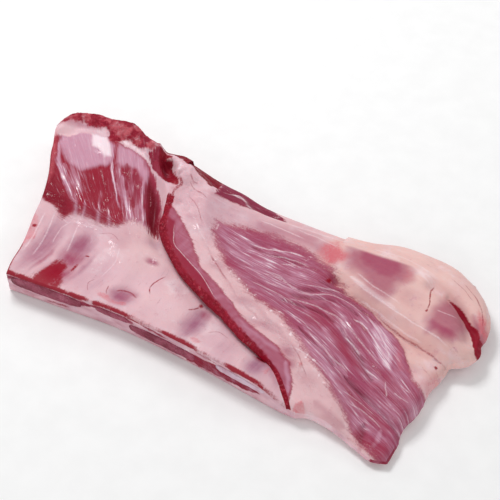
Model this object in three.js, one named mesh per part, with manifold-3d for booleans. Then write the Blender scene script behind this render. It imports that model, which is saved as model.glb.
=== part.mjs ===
// A raw lamb flap: the breast and flank of one side, lying on its outer face with the inside of the
// ribs up. From left to right it has the rib sheet with the sawn half breastbone along its near
// edge, the thin skirt muscle whose cut edge stands up as a curved lip, the fat ridge over the costal
// arch, the fanned flank muscle, and the fat end that is tucked under in two lobes.
// Millimetres, +Z up, X along the flap's length. The origin is under the middle, on the table.

import * as THREE from "three";
import { mergeVertices } from "three/addons/utils/BufferGeometryUtils.js";
import Module from "manifold-3d";

// ---------------------------------------------------------------- driving sizes
const LENGTH = 320; // left cut edge to the tucked end
const WIDTH = 148; // sawn breastbone edge to the far edge
const RIB_LEVEL = 13.5; // top of the rib sheet over the table
const SAWN_RISE = 5; // how much thicker the sheet is over the breastbone
const SAWN_FALL = 7; // how much it thins again towards the end of the breastbone's cartilage
const FAR_RISE = 14.5; // how far the rib sheet climbs to its far edge
const FAR_LIFT = 10; // how far the underside leaves the table there, from the curve of the ribs
const SKIRT_RISE = 5.5; // skirt muscle over the flank muscle
const FAT_RISE = 2.2; // costal fat ridge over the skirt
const FLANK_LEVEL = 14; // top of the flank muscle over the table
const FLANK_FALL = 6; // how much it thins towards its near edge
const MEMBRANE_DROP = 4; // how far the muscle lies below the free edge of the belly membrane
const LIP_OVERHANG = 2.6; // how far the skirt's cut edge leans over the ribs
const LIP_BEFORE = 3.2; // width of the strip of mesh on the rib side of the lip
const LIP_AFTER = 5; // and on the skirt side
const BONE_GAP = 0.3; // clearance between a bone and its seat
const BONE_PROUD = 0.2; // how far a bone stands out of the sawn face
const SEAT_PROUD = 4; // how far its seat's cutter does, so that it cuts the face cleanly
const BONE_DEPTH = 6; // how far the half breastbone runs into the flap

// ---------------------------------------------------------------- mesh fineness
const RIB_COLUMNS = 22;
const LIP_COLUMNS = 8;
const FLANK_COLUMNS = 42;
const ROWS = 40;
const RIM_RINGS = 3;
const UNDER_STEP = 2; // the underside has one vertex for this many on top

// ---------------------------------------------------------------- outline in plan
// Landmarks as shares of half the length and half the width. The rim's bulge brings the overall size
// to the full length and width.
const at = (x, y) => new THREE.Vector2((x * LENGTH) / 2, (y * WIDTH) / 2);
const LEFT_NEAR = at(-0.739, -0.949);
const LEFT_FAR = at(-0.998, 0.622);
const LIP_NEAR = at(0.483, -0.931);
const LIP_FAR = at(-0.562, 0.927);
const TIP = at(0.88, -0.954);
const RIGHT_FAR = at(0.857, 0.849);

const LEFT_EDGE = [LEFT_NEAR, at(-0.779, -0.651), at(-0.828, -0.331), at(-0.861, -0.085), at(-0.904, 0.172),
  at(-0.951, 0.369), LEFT_FAR];
const SAWN_EDGE = [LEFT_NEAR, at(-0.525, -0.905), at(-0.269, -0.853), at(0.031, -0.859), at(0.25, -0.892),
  LIP_NEAR];
const FAR_RIB_EDGE = [LEFT_FAR, at(-0.971, 0.791), at(-0.866, 0.909), at(-0.794, 0.919), at(-0.713, 0.973),
  at(-0.644, 0.935), LIP_FAR];
const LIP = [LIP_NEAR, at(0.369, -0.716), at(0.288, -0.628), at(0.188, -0.568), at(0.081, -0.466),
  at(-0.038, -0.372), at(-0.138, -0.271), at(-0.238, -0.108), at(-0.3, 0.013), at(-0.35, 0.162),
  at(-0.375, 0.297), at(-0.4, 0.446), at(-0.456, 0.581), at(-0.519, 0.729), LIP_FAR];
const NEAR_FLANK_EDGE = [LIP_NEAR, at(0.562, -0.886), at(0.688, -0.912), at(0.751, -0.946),
  at(0.835, -0.989), TIP];
const RIGHT_EDGE = [TIP, at(0.882, -0.784), at(0.873, -0.649), at(0.894, -0.446), at(0.894, -0.23),
  at(0.908, -0.092), at(0.914, 0.047), at(0.962, 0.114), at(0.987, 0.23), at(0.976, 0.338), at(0.98, 0.432),
  at(0.966, 0.576), at(0.924, 0.716), RIGHT_FAR];
const FAR_FLANK_EDGE = [LIP_FAR, at(-0.475, 0.968), at(-0.375, 0.909), at(-0.269, 0.905), at(-0.169, 0.897),
  at(-0.05, 0.845), at(0.2, 0.846), at(0.338, 0.859), at(0.429, 0.889), at(0.529, 0.966), at(0.639, 0.974),
  at(0.756, 0.954), RIGHT_FAR];

// ---------------------------------------------------------------- relief, in plan millimetres
const INTERCOSTAL_SPACES = [-112, -90, -46, 2, 50]; // hollows between the ribs, along X
// Round rises and dips of the skirt side: the middle, the two half widths and the height.
const MOUNDS = [
  { of: "tucked fat end", x: 116, y: 43, long: 48, wide: 27, rise: 8.5 },
  { of: "lower lobe", x: 141, y: 15, long: 19, wide: 12, rise: 7 },
  { of: "flank muscle", x: 95, y: -28, long: 40, wide: 26, rise: 1.8 },
  { of: "fat knob at the lip's far end", x: -61, y: 49, long: 7.5, wide: 10.5, rise: 8.5 },
  { of: "pit beside the knob", x: -76, y: 56, long: 7, wide: 9, rise: -6 },
];
const CREASES = [
  { of: "tuck", depth: 5, width: 5, line: [[118, 45], [129, 42], [138, 37], [145, 31], [149, 26], [151, 20]] },
  { of: "lobe", depth: 4.5, width: 5, line: [[62, 24], [78, 19], [90, 16], [102, 11], [116, 7], [149, 0]] },
  { of: "muscle", depth: 2, width: 4, line: [[66, 2], [78, -5], [88, -11], [100, -19], [113, -31]] },
  { of: "muscle", depth: 2, width: 4, line: [[92, -34], [105, -39.5], [116, -43], [126, -46], [142, -54]] },
  { of: "muscle", depth: 1.4, width: 4, line: [[4, 25], [20, 29], [34, 28], [52, 25], [62, 24]] },
];
const MEMBRANE_EDGE = [[-66, 60], [-50, 55], [-36, 52], [-25, 57], [-12, 51], [12, 51], [34, 53], [52, 54]];

const smooth = (from, to, x) => THREE.MathUtils.smoothstep((x - from) / (to - from), 0, 1);
const hill = (u, v = 0) => Math.exp(-u * u - v * v);

// A smooth curve through plan points, as a function of the share of its length.
function curveThrough(points) {
  const flat = points.map((p) => new THREE.Vector3(p.x, p.y, 0));
  const curve = new THREE.CatmullRomCurve3(flat, false, "centripetal");
  return (share) => {
    const p = curve.getPointAt(THREE.MathUtils.clamp(share, 0, 1));
    return new THREE.Vector2(p.x, p.y);
  };
}

// The distance in plan from (x, y) to a chain of points, as a function.
function distanceTo(chain) {
  return (x, y) => {
    let nearest = Infinity;
    for (let i = 0; i + 1 < chain.length; i++) {
      const [a, b] = [chain[i], chain[i + 1]];
      const [dx, dy] = [b.x - a.x, b.y - a.y];
      const share = THREE.MathUtils.clamp(((x - a.x) * dx + (y - a.y) * dy) / (dx * dx + dy * dy), 0, 1);
      nearest = Math.min(nearest, Math.hypot(x - a.x - share * dx, y - a.y - share * dy));
    }
    return nearest;
  };
}

const sampled = (curve, count) => Array.from({ length: count + 1 }, (_, i) => curve(i / count));
const lineThrough = (pairs, count = 24) =>
  sampled(curveThrough(pairs.map(([x, y]) => new THREE.Vector2(x, y))), count);

const lipCurve = curveThrough(LIP);
const fromLip = distanceTo(sampled(lipCurve, 60));
const fromFarRibEdge = distanceTo(sampled(curveThrough(FAR_RIB_EDGE), 24));
const creases = CREASES.map((crease) => ({ ...crease, from: distanceTo(lineThrough(crease.line)) }));
const membraneEdge = lineThrough(MEMBRANE_EDGE);
const fromMembraneEdge = distanceTo(membraneEdge);

// The underside: flat on the table, but curling up under the far edge of the ribs.
function undersideHeight(x, y) {
  return FAR_LIFT * smooth(-8, 60, y) * smooth(-62, -125, x) + 2 * smooth(-120, -160, x);
}

// The inside of the ribs: thick over the breastbone, hollow between the ribs, climbing to the far
// edge and its roll of muscle.
function ribHeight(x, y) {
  const sheet = (1 - smooth(-22, -8, y)) * smooth(-60, -46, y);
  const breastbone = SAWN_RISE * hill((y + 64) / 15) - SAWN_FALL * smooth(50, 80, x) * hill((y + 68) / 17);
  const hollows = INTERCOSTAL_SPACES.reduce((sum, middle) => sum + 1.8 * hill((x - middle) / 8), 0);
  const climb = (FAR_RISE - 5 * smooth(-125, -80, x)) * smooth(-16, 62, y);
  const gutter = 2.6 * hill((fromLip(x, y) - 6) / 4) * smooth(-14, 4, y) * smooth(50, 34, y);
  const swell = 1.2 * hill((y + 16) / 9) * smooth(-60, -80, x);
  const farRoll = 1.6 * hill((fromFarRibEdge(x, y) - 5) / 4) - 1.2 * hill((fromFarRibEdge(x, y) - 14) / 4);
  return RIB_LEVEL + breastbone - hollows * sheet + climb - gutter + swell + farRoll;
}

// The skirt, the fat ridge, the flank muscle and the tucked lobes, right of the lip.
function flankHeight(x, y) {
  const away = fromLip(x, y);
  const skirt = SKIRT_RISE * (1 - smooth(22, 46, away)) - 1.1 * hill((away - 11) / 5);
  const fatRidge = FAT_RISE * hill((away - 25) / 8);
  const mounds = MOUNDS.reduce((sum, m) => sum + m.rise * hill((x - m.x) / m.long, (y - m.y) / m.wide), 0);
  const folds = creases.reduce((sum, c) => sum + c.depth * hill(c.from(x, y) / c.width), 0);
  const fall = FLANK_FALL * smooth(-38, -68, y) + MEMBRANE_DROP * smooth(0, 5, farOfMembrane(x, y));
  return FLANK_LEVEL + skirt + fatRidge + mounds - folds - fall;
}

// How far (x, y) lies beyond the free edge of the belly membrane, towards the far edge.
function farOfMembrane(x, y) {
  const next = membraneEdge.findIndex((p) => p.x > x);
  const besideIt = next > 0 && y > membraneEdge[next].y;
  return besideIt ? fromMembraneEdge(x, y) : 0;
}

// ---------------------------------------------------------------- edges
// 1 where the flap was sawn or cut square, 0 where its edge is round fat or membrane.
function squareness(x, y) {
  const sawn = smooth(92, 58, x) * smooth(-30, -58, y);
  const cutLeft = 0.7 * smooth(-96, -112, x);
  return 1 - (1 - sawn) * (1 - cutLeft);
}

// 1 at the tucked end, which is thick and round.
const tuck = (x, y) => smooth(60, 105, x) * smooth(-12, 8, y);

// A quarter circle from 0 at the very edge to 1 at the radius.
function quarterRound(distance, radius) {
  const inward = 1 - THREE.MathUtils.clamp(distance / radius, 0, 1);
  return Math.sqrt(1 - inward * inward);
}

// ---------------------------------------------------------------- plan grid
// A patch bounded by four curves: near and far run with s, start and end run with t.
function coonsPatch(near, far, start, end) {
  const corners = [near(0), near(1), far(0), far(1)];
  return (s, t) => {
    const point = near(s).multiplyScalar(1 - t).add(far(s).multiplyScalar(t));
    point.add(start(t).multiplyScalar(1 - s)).add(end(t).multiplyScalar(s));
    const weights = [(1 - s) * (1 - t), s * (1 - t), (1 - s) * t, s * t];
    corners.forEach((corner, i) => point.addScaledVector(corner, -weights[i]));
    return point;
  };
}

// Steps from 0 to 1 that crowd towards both ends.
const crowded = (i, count, ends = 0.45) => {
  const share = i / count;
  return share - (ends * Math.sin(2 * Math.PI * share)) / (2 * Math.PI);
};

// The unit normal of the lip in plan, towards the skirt.
function lipNormal(t) {
  const [before, after] = [lipCurve(t - 0.01), lipCurve(t + 0.01)];
  return new THREE.Vector2(after.y - before.y, before.x - after.x).normalize();
}

// Where the lip runs out at the flap's near and far edges, the strip beside it ends along those edges.
function acrossLip(t) {
  const atEnd = smooth(0.07, 0, t) + smooth(0.94, 1, t);
  return lipNormal(t).lerp(new THREE.Vector2(1, 0), atEnd);
}

const besideLip = (t, distance) => lipCurve(t).addScaledVector(acrossLip(t), distance);
const ribSideOfLip = (t) => besideLip(t, -LIP_BEFORE);
const skirtSideOfLip = (t) => besideLip(t, LIP_AFTER);

const replaceEnd = (points, index, point) => points.with(index, point);
const ribPatch = coonsPatch(
  curveThrough(replaceEnd(SAWN_EDGE, -1, ribSideOfLip(0))),
  curveThrough(replaceEnd(FAR_RIB_EDGE, -1, ribSideOfLip(1))),
  curveThrough(LEFT_EDGE),
  ribSideOfLip,
);
const flankPatch = coonsPatch(
  curveThrough(replaceEnd(NEAR_FLANK_EDGE, 0, skirtSideOfLip(0))),
  curveThrough(replaceEnd(FAR_FLANK_EDGE, 0, skirtSideOfLip(1))),
  skirtSideOfLip,
  curveThrough(RIGHT_EDGE),
);

// One point of the lip's section: share runs from the ribs, under the overhang and round the cut edge,
// to the top of the skirt. It gives the distance from the lip's line and the share of the rise.
function lipSection(share, overhang) {
  const [tucked, turned] = [0.3, 0.78];
  const foot = overhang * 0.4;
  if (share < tucked) {
    return { away: THREE.MathUtils.lerp(-LIP_BEFORE, foot, share / tucked), rise: 0 };
  }
  if (share < turned) {
    const angle = (Math.PI * (share - tucked)) / (turned - tucked);
    return { away: foot - (overhang + foot) * Math.sin(angle), rise: (1 - Math.cos(angle)) / 2 };
  }
  return { away: THREE.MathUtils.lerp(foot, LIP_AFTER, (share - turned) / (1 - turned)), rise: 1 };
}

// The columns of the grid, each a function of t that gives a plan point for the underside, a plan
// point for the top, and a weight: 0 on the ribs and 1 on the skirt and flank.
function planColumns() {
  const columns = [];
  const plain = (patch, s, rise) => (t) => {
    const place = patch(s, t);
    return { under: place, top: place, rise };
  };
  for (let i = 0; i < RIB_COLUMNS; i++) columns.push(plain(ribPatch, crowded(i, RIB_COLUMNS), 0));
  for (let i = 0; i < LIP_COLUMNS; i++) {
    columns.push((t) => {
      const free = smooth(0.02, 0.24, t) * smooth(0.8, 0.66, t); // the overhang dies out at both ends
      const section = lipSection(i / LIP_COLUMNS, LIP_OVERHANG * free);
      const flat = THREE.MathUtils.lerp(-LIP_BEFORE, LIP_AFTER, i / LIP_COLUMNS);
      return {
        under: besideLip(t, flat),
        top: besideLip(t, THREE.MathUtils.lerp(flat, section.away, free)),
        rise: THREE.MathUtils.lerp(smooth(0.2, 0.8, i / LIP_COLUMNS), section.rise, free),
      };
    });
  }
  for (let i = 0; i <= FLANK_COLUMNS; i++) columns.push(plain(flankPatch, crowded(i, FLANK_COLUMNS, 0.3), 1));
  return columns;
}

// ---------------------------------------------------------------- the flap's surface
function flapGeometry() {
  const columns = planColumns();
  const grid = columns.map((column) =>
    Array.from({ length: ROWS + 1 }, (_, row) => column(crowded(row, ROWS))));
  const lastColumn = columns.length - 1;

  // The outline as grid places, anticlockwise seen from above.
  const loop = [];
  for (let c = 0; c < lastColumn; c++) loop.push([c, 0]);
  for (let r = 0; r < ROWS; r++) loop.push([lastColumn, r]);
  for (let c = lastColumn; c > 0; c--) loop.push([c, ROWS]);
  for (let r = ROWS; r > 0; r--) loop.push([0, r]);
  const outline = loop.map(([c, r]) => grid[c][r].under);
  const fromOutline = distanceTo([...outline, outline[0]]);

  const underside = (p) => {
    const square = squareness(p.x, p.y);
    const round = tuck(p.x, p.y);
    const lift = THREE.MathUtils.lerp(2.6 + 3.4 * round, 0.8, square);
    const radius = THREE.MathUtils.lerp(6 + 5 * round, 2, square);
    return undersideHeight(p.x, p.y) + lift * (1 - quarterRound(fromOutline(p.x, p.y), radius));
  };
  const topside = (p, rise) => {
    const height = THREE.MathUtils.lerp(ribHeight(p.x, p.y), flankHeight(p.x, p.y), rise);
    const square = squareness(p.x, p.y);
    const round = tuck(p.x, p.y);
    const radius = THREE.MathUtils.lerp(7 + 5 * round, 2.5, square);
    const keep = THREE.MathUtils.lerp(0.6 + 0.12 * round, 0.93, square);
    const floor = undersideHeight(p.x, p.y);
    const shoulder = keep + (1 - keep) * quarterRound(fromOutline(p.x, p.y), radius);
    return floor + (height - floor) * shoulder;
  };

  const vertices = [];
  const faces = [];
  const add = (x, y, z) => vertices.push([x, y, z]) - 1;
  const apart = (a, b) => Math.hypot(...vertices[a].map((value, axis) => value - vertices[b][axis]));
  // Each cell is split along its shorter diagonal, so that creases stay clean.
  const quad = (a, b, c, d) =>
    apart(a, c) <= apart(b, d) ? faces.push([a, b, c], [a, c, d]) : faces.push([a, b, d], [b, c, d]);

  const top = grid.map((column) => column.map(({ top: p, rise }) => add(p.x, p.y, topside(p, rise))));
  for (let c = 0; c < lastColumn; c++) {
    for (let r = 0; r < ROWS; r++) quad(top[c][r], top[c + 1][r], top[c + 1][r + 1], top[c][r + 1]);
  }

  // The rim: rings from the top's edge down to the underside's, bulging a little where it is soft.
  const rim = loop.map(([c, r], i) => {
    const place = grid[c][r].under;
    const [before, after] = [outline.at(i - 1), outline[(i + 1) % outline.length]];
    const outward = new THREE.Vector2(after.y - before.y, before.x - after.x).normalize();
    const upper = vertices[top[c][r]];
    const lower = underside(place);
    const bulge = THREE.MathUtils.lerp(1.2 + 1.2 * tuck(place.x, place.y), 0, squareness(place.x, place.y));
    const stack = [top[c][r]];
    for (let ring = 1; ring <= RIM_RINGS; ring++) {
      const down = ring / RIM_RINGS;
      const out = bulge * Math.sin(Math.PI * down);
      const x = THREE.MathUtils.lerp(upper[0], place.x, down) + outward.x * out;
      const y = THREE.MathUtils.lerp(upper[1], place.y, down) + outward.y * out;
      stack.push(add(x, y, THREE.MathUtils.lerp(upper[2], lower, down)));
    }
    return stack;
  });
  rim.forEach((stack, i) => {
    const next = rim[(i + 1) % rim.length];
    for (let ring = 0; ring < RIM_RINGS; ring++) {
      quad(stack[ring], stack[ring + 1], next[ring + 1], next[ring]);
    }
  });

  addUnderside(grid, loop, rim, { add, faces, underside });
  return geometryOf(vertices, faces);
}

// The underside is a coarser grid inside the outline, joined to the rim's lowest ring by fans.
function addUnderside(grid, loop, rim, { add, faces, underside }) {
  const [lastColumn, lastRow] = [grid.length - 1, grid[0].length - 1];
  const lowest = new Map(loop.map(([c, r], i) => [`${c},${r}`, rim[i].at(-1)]));
  const edge = (c, r) => lowest.get(`${c},${r}`);
  const inner = new Map();
  const vertexAt = (c, r) => {
    if (edge(c, r) !== undefined) return edge(c, r);
    const key = `${c},${r}`;
    if (!inner.has(key)) {
      const { under } = grid[c][r];
      inner.set(key, add(under.x, under.y, underside(under)));
    }
    return inner.get(key);
  };
  for (let c = 0; c < lastColumn; c += UNDER_STEP) {
    for (let r = 0; r < lastRow; r += UNDER_STEP) {
      // The fan starts from a corner inside the outline, so that no triangle lies flat along it.
      const places = cellOutline(c, r, lastColumn, lastRow);
      const inside = places.findIndex(([i, j]) => edge(i, j) === undefined);
      const ring = [...places.slice(inside), ...places.slice(0, inside)];
      fan(ring.map(([i, j]) => vertexAt(i, j)), faces);
    }
  }
}

// A coarse cell's corners, with the fine places between them along the outline.
function cellOutline(c, r, lastColumn, lastRow) {
  const [c2, r2] = [Math.min(c + UNDER_STEP, lastColumn), Math.min(r + UNDER_STEP, lastRow)];
  const places = [];
  const side = (from, to, onEdge) => {
    const steps = onEdge ? Math.max(Math.abs(to[0] - from[0]), Math.abs(to[1] - from[1])) : 1;
    for (let k = 0; k < steps; k++) {
      places.push([from[0] + (k * (to[0] - from[0])) / steps, from[1] + (k * (to[1] - from[1])) / steps]);
    }
  };
  side([c, r], [c, r2], c === 0);
  side([c, r2], [c2, r2], r2 === lastRow);
  side([c2, r2], [c2, r], c2 === lastColumn);
  side([c2, r], [c, r], r === 0);
  return places;
}

// Triangles that fill a ring of vertices, all from its first one.
function fan(ring, faces) {
  for (let i = 1; i + 1 < ring.length; i++) faces.push([ring[0], ring[i], ring[i + 1]]);
}

function geometryOf(vertices, faces) {
  const geometry = new THREE.BufferGeometry();
  geometry.setAttribute("position", new THREE.Float32BufferAttribute(vertices.flat(), 3));
  geometry.setIndex(faces.flat());
  return geometry;
}

// ---------------------------------------------------------------- breastbone
// The sawn half breastbone shows along the near edge: three bones and the cartilage behind them.
// Each has its middle along X, its length, its middle height over the table and its height there.
const BREASTBONE = [
  { name: "breastbone_front", middle: -91, length: 49, level: 11.6, height: 9, taper: 0.1 },
  { name: "breastbone_middle", middle: -45.5, length: 23, level: 13, height: 5.2, taper: -0.1 },
  { name: "breastbone_rear", middle: -10.5, length: 47, level: 7.8, height: 8.2, taper: -0.1 },
  { name: "breastbone_cartilage", middle: 45, length: 34, level: 12.4, height: 5, taper: 0.3 },
];

const sawnCurve = curveThrough(replaceEnd(SAWN_EDGE, -1, ribSideOfLip(0)));

// Where the sawn edge stands at x, and its slope in plan.
function sawnPlace(x) {
  const points = sampled(sawnCurve, 80);
  const next = Math.max(1, points.findIndex((p) => p.x > x));
  const [a, b] = [points[next - 1], points[next]];
  const y = THREE.MathUtils.lerp(a.y, b.y, (x - a.x) / (b.x - a.x));
  return { y, angle: Math.atan2(b.y - a.y, b.x - a.x) };
}

// A long bone section with round ends, tapering to one side, run into the flap from its sawn face.
// It is grown for its seat, and stands proud of the face.
function boneGeometry({ length, height, taper }, grow, proud) {
  const outline = new THREE.Shape();
  const roundness = 0.55; // exponent of the superellipse that gives blunt ends
  const sides = 20;
  for (let i = 0; i < sides; i++) {
    const angle = (2 * Math.PI * i) / sides;
    const [c, s] = [Math.cos(angle), Math.sin(angle)];
    const x = Math.sign(c) * Math.abs(c) ** roundness * (length / 2 + grow);
    const narrowing = 1 - taper * (x / length);
    const z = Math.sign(s) * Math.abs(s) ** roundness * ((height / 2) * narrowing + grow);
    if (i === 0) outline.moveTo(x, z);
    else outline.lineTo(x, z);
  }
  outline.closePath();
  const depth = BONE_DEPTH + grow + proud;
  const geometry = new THREE.ExtrudeGeometry(outline, { depth, bevelEnabled: false });
  // The section is drawn in X and Y and run along Z: stand it up, so that it runs inwards along +Y.
  return geometry.rotateX(-Math.PI / 2).translate(0, -proud, 0);
}

function placedBone(bone, grow, proud) {
  const { y, angle } = sawnPlace(bone.middle);
  return boneGeometry(bone, grow, proud).rotateZ(angle).translate(bone.middle, y, bone.level);
}

// ---------------------------------------------------------------- solids
const wasm = await Module();
wasm.setup();

function toSolid(geometry) {
  const bare = geometry.clone();
  bare.deleteAttribute("normal");
  bare.deleteAttribute("uv");
  const merged = mergeVertices(bare, 1e-4);
  return new wasm.Manifold(new wasm.Mesh({
    numProp: 3,
    vertProperties: Float32Array.from(merged.getAttribute("position").array),
    triVerts: Uint32Array.from(merged.index.array),
  }));
}

function toGeometry(solid) {
  const mesh = solid.getMesh();
  const geometry = new THREE.BufferGeometry();
  geometry.setAttribute("position", new THREE.BufferAttribute(Float32Array.from(mesh.vertProperties), 3));
  geometry.setIndex(new THREE.BufferAttribute(Uint32Array.from(mesh.triVerts), 1));
  return geometry;
}

// ---------------------------------------------------------------- the object
const flesh = new THREE.MeshStandardMaterial({ color: 0xc98790, roughness: 0.4, metalness: 0 });
const marrow = new THREE.MeshStandardMaterial({ color: 0x7c3540, roughness: 0.6, metalness: 0 });
const cartilage = new THREE.MeshStandardMaterial({ color: 0xd8bcc4, roughness: 0.35, metalness: 0 });

function named(name, geometry, material) {
  geometry.computeVertexNormals();
  const mesh = new THREE.Mesh(geometry, material);
  mesh.name = name;
  return mesh;
}

const lambFlap = new THREE.Group();
let body = toSolid(flapGeometry());
for (const bone of BREASTBONE) body = body.subtract(toSolid(placedBone(bone, BONE_GAP, SEAT_PROUD)));
lambFlap.add(named("flap_meat", toGeometry(body), flesh));
for (const bone of BREASTBONE) {
  const material = bone.name.endsWith("cartilage") ? cartilage : marrow;
  lambFlap.add(named(bone.name, placedBone(bone, 0, BONE_PROUD), material));
}

export default lambFlap;
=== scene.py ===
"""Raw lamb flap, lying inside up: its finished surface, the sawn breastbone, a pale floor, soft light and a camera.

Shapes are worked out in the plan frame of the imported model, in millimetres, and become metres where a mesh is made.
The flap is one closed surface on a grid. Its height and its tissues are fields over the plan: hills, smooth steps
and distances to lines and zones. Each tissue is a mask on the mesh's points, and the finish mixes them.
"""

import math

import bpy
import numpy as np
from mathutils import Matrix, Vector


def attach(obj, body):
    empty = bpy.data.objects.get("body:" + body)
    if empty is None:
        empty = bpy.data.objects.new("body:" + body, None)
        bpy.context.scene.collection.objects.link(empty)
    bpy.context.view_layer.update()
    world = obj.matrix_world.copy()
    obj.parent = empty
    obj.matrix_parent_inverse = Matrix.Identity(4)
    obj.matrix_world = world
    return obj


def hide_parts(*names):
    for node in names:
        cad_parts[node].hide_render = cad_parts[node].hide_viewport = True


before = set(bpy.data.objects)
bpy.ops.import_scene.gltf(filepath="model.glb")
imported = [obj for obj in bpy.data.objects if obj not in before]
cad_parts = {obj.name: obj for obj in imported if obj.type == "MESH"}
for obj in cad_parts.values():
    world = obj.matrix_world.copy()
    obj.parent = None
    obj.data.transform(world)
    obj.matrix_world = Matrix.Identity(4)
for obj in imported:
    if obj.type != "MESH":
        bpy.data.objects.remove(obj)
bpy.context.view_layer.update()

MM = 0.001

# ------------------------------------------------------------------ driving sizes, mm
LENGTH, WIDTH = 320, 148
RIB_LEVEL, SAWN_RISE, SAWN_FALL = 13.5, 5.0, 7.0
FAR_RISE, FAR_LIFT = 14.5, 10.0
SKIRT_RISE, FAT_RISE = 5.5, 2.2
FLANK_LEVEL, FLANK_FALL, MEMBRANE_DROP = 14.0, 6.0, 4.0
LIP_OVERHANG, LIP_BEFORE, LIP_AFTER = 2.6, 3.2, 5.0

# The grid: columns along the flap, rows across it, rings down the rim. The underside keeps every third line.
RIB_COLUMNS, LIP_COLUMNS, FLANK_COLUMNS = 150, 24, 198
ROWS, RINGS, UNDER_STEP = 186, 14, 3

# ------------------------------------------------------------------ outline, as shares of half length and width
LEFT_NEAR, LEFT_FAR = (-0.739, -0.949), (-0.998, 0.622)
LIP_NEAR, LIP_FAR = (0.483, -0.931), (-0.562, 0.927)
TIP, RIGHT_FAR = (0.88, -0.954), (0.857, 0.849)
LEFT_EDGE = [LEFT_NEAR, (-0.779, -0.651), (-0.828, -0.331), (-0.861, -0.085), (-0.904, 0.172),
             (-0.951, 0.369), LEFT_FAR]
SAWN_EDGE = [LEFT_NEAR, (-0.525, -0.905), (-0.269, -0.853), (0.031, -0.859), (0.25, -0.892), LIP_NEAR]
FAR_RIB_EDGE = [LEFT_FAR, (-0.971, 0.791), (-0.866, 0.909), (-0.794, 0.919), (-0.713, 0.973),
                (-0.644, 0.935), LIP_FAR]
LIP = [LIP_NEAR, (0.372, -0.72), (0.288, -0.632), (0.188, -0.545), (0.081, -0.435), (-0.038, -0.335),
       (-0.138, -0.238), (-0.238, -0.085), (-0.3, 0.026), (-0.35, 0.166), (-0.375, 0.297), (-0.4, 0.446),
       (-0.456, 0.581), (-0.519, 0.729), LIP_FAR]
NEAR_FLANK_EDGE = [LIP_NEAR, (0.562, -0.886), (0.688, -0.912), (0.751, -0.946), (0.835, -0.989), TIP]
RIGHT_EDGE = [TIP, (0.882, -0.784), (0.873, -0.649), (0.894, -0.446), (0.894, -0.23), (0.908, -0.092),
              (0.914, 0.047), (0.962, 0.114), (0.987, 0.23), (0.976, 0.338), (0.98, 0.432), (0.966, 0.576),
              (0.924, 0.716), RIGHT_FAR]
FAR_FLANK_EDGE = [LIP_FAR, (-0.475, 0.968), (-0.375, 0.909), (-0.269, 0.905), (-0.169, 0.897),
                  (-0.05, 0.845), (0.2, 0.846), (0.338, 0.859), (0.429, 0.889), (0.529, 0.966),
                  (0.639, 0.974), (0.756, 0.954), RIGHT_FAR]

# ------------------------------------------------------------------ main relief, mm
INTERCOSTAL_SPACES = [-112, -90, -46, 2, 50]
# Middle x and y, the two half widths, and the height.
TUCKED_END = (116, 43, 48, 27, 8.5)
LOWER_LOBE = (141, 15, 19, 12, 7)
FLANK_MUSCLE = (95, -28, 40, 26, 1.8)
FAT_KNOB = (-61, 49, 7.5, 10.5, 8.5)
PIT = (-76, 56, 7, 9, -6)
TUCK_LINE = [(118, 45), (129, 42), (138, 37), (145, 31), (149, 26), (151, 20)]
LOBE_LINE = [(62, 24), (78, 19), (90, 16), (102, 11), (116, 7), (149, 0)]
# Depth, half width and line of each crease.
CREASES = [
    (5, 5, TUCK_LINE),
    (4.5, 5, LOBE_LINE),
    (2, 4, [(66, 2), (78, -5), (88, -11), (100, -19), (113, -31)]),
    (2, 4, [(92, -34), (105, -39.5), (116, -43), (126, -46), (142, -54)]),
    (1.4, 4, [(4, 25), (20, 29), (34, 28), (52, 25), (62, 24)]),
]
MEMBRANE_EDGE = [(-66, 60), (-50, 55), (-36, 52), (-25, 57), (-12, 51), (12, 51), (34, 53), (52, 54)]


# ------------------------------------------------------------------ fields over the plan
def smooth(start, end, x):
    """0 before start, 1 past end, with a smooth step between."""
    t = np.clip((x - start) / (end - start), 0, 1)
    return t * t * (3 - 2 * t)


def mix(a, b, share):
    return a + (b - a) * share


def hill(u, v=0):
    """A round hill of height 1, e to the minus distance squared."""
    return np.exp(-np.square(u) - np.square(v))


def mound(x, y, middle_x, middle_y, half_x, half_y, rise=1.0):
    return rise * hill((x - middle_x) / half_x, (y - middle_y) / half_y)


def plan(shares):
    return np.array(shares, float) * (LENGTH / 2, WIDTH / 2)


def along(points, shares, dense=24):
    """The centripetal Catmull-Rom curve through the points, at these shares of its length."""
    p = np.asarray(points, float)
    p = np.vstack([2 * p[0] - p[1], p, 2 * p[-1] - p[-2]])
    knots = np.r_[0, np.cumsum(np.sqrt(np.linalg.norm(np.diff(p, axis=0), axis=1)))]
    pieces = []
    for i in range(1, len(p) - 2):
        t = np.linspace(knots[i], knots[i + 1], dense, endpoint=False)[:, None]
        k, q = knots[i - 1:i + 3], p[i - 1:i + 3]
        a = [mix(q[j], q[j + 1], (t - k[j]) / (k[j + 1] - k[j])) for j in range(3)]
        b = [mix(a[j], a[j + 1], (t - k[j]) / (k[j + 2] - k[j])) for j in range(2)]
        pieces.append(mix(b[0], b[1], (t - k[1]) / (k[2] - k[1])))
    q = np.vstack(pieces + [p[-2][None]])
    run = np.r_[0, np.cumsum(np.linalg.norm(np.diff(q, axis=0), axis=1))]
    places = np.clip(shares, 0, 1) * run[-1]
    return np.stack([np.interp(places, run, q[:, axis]) for axis in range(2)], -1)


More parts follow.
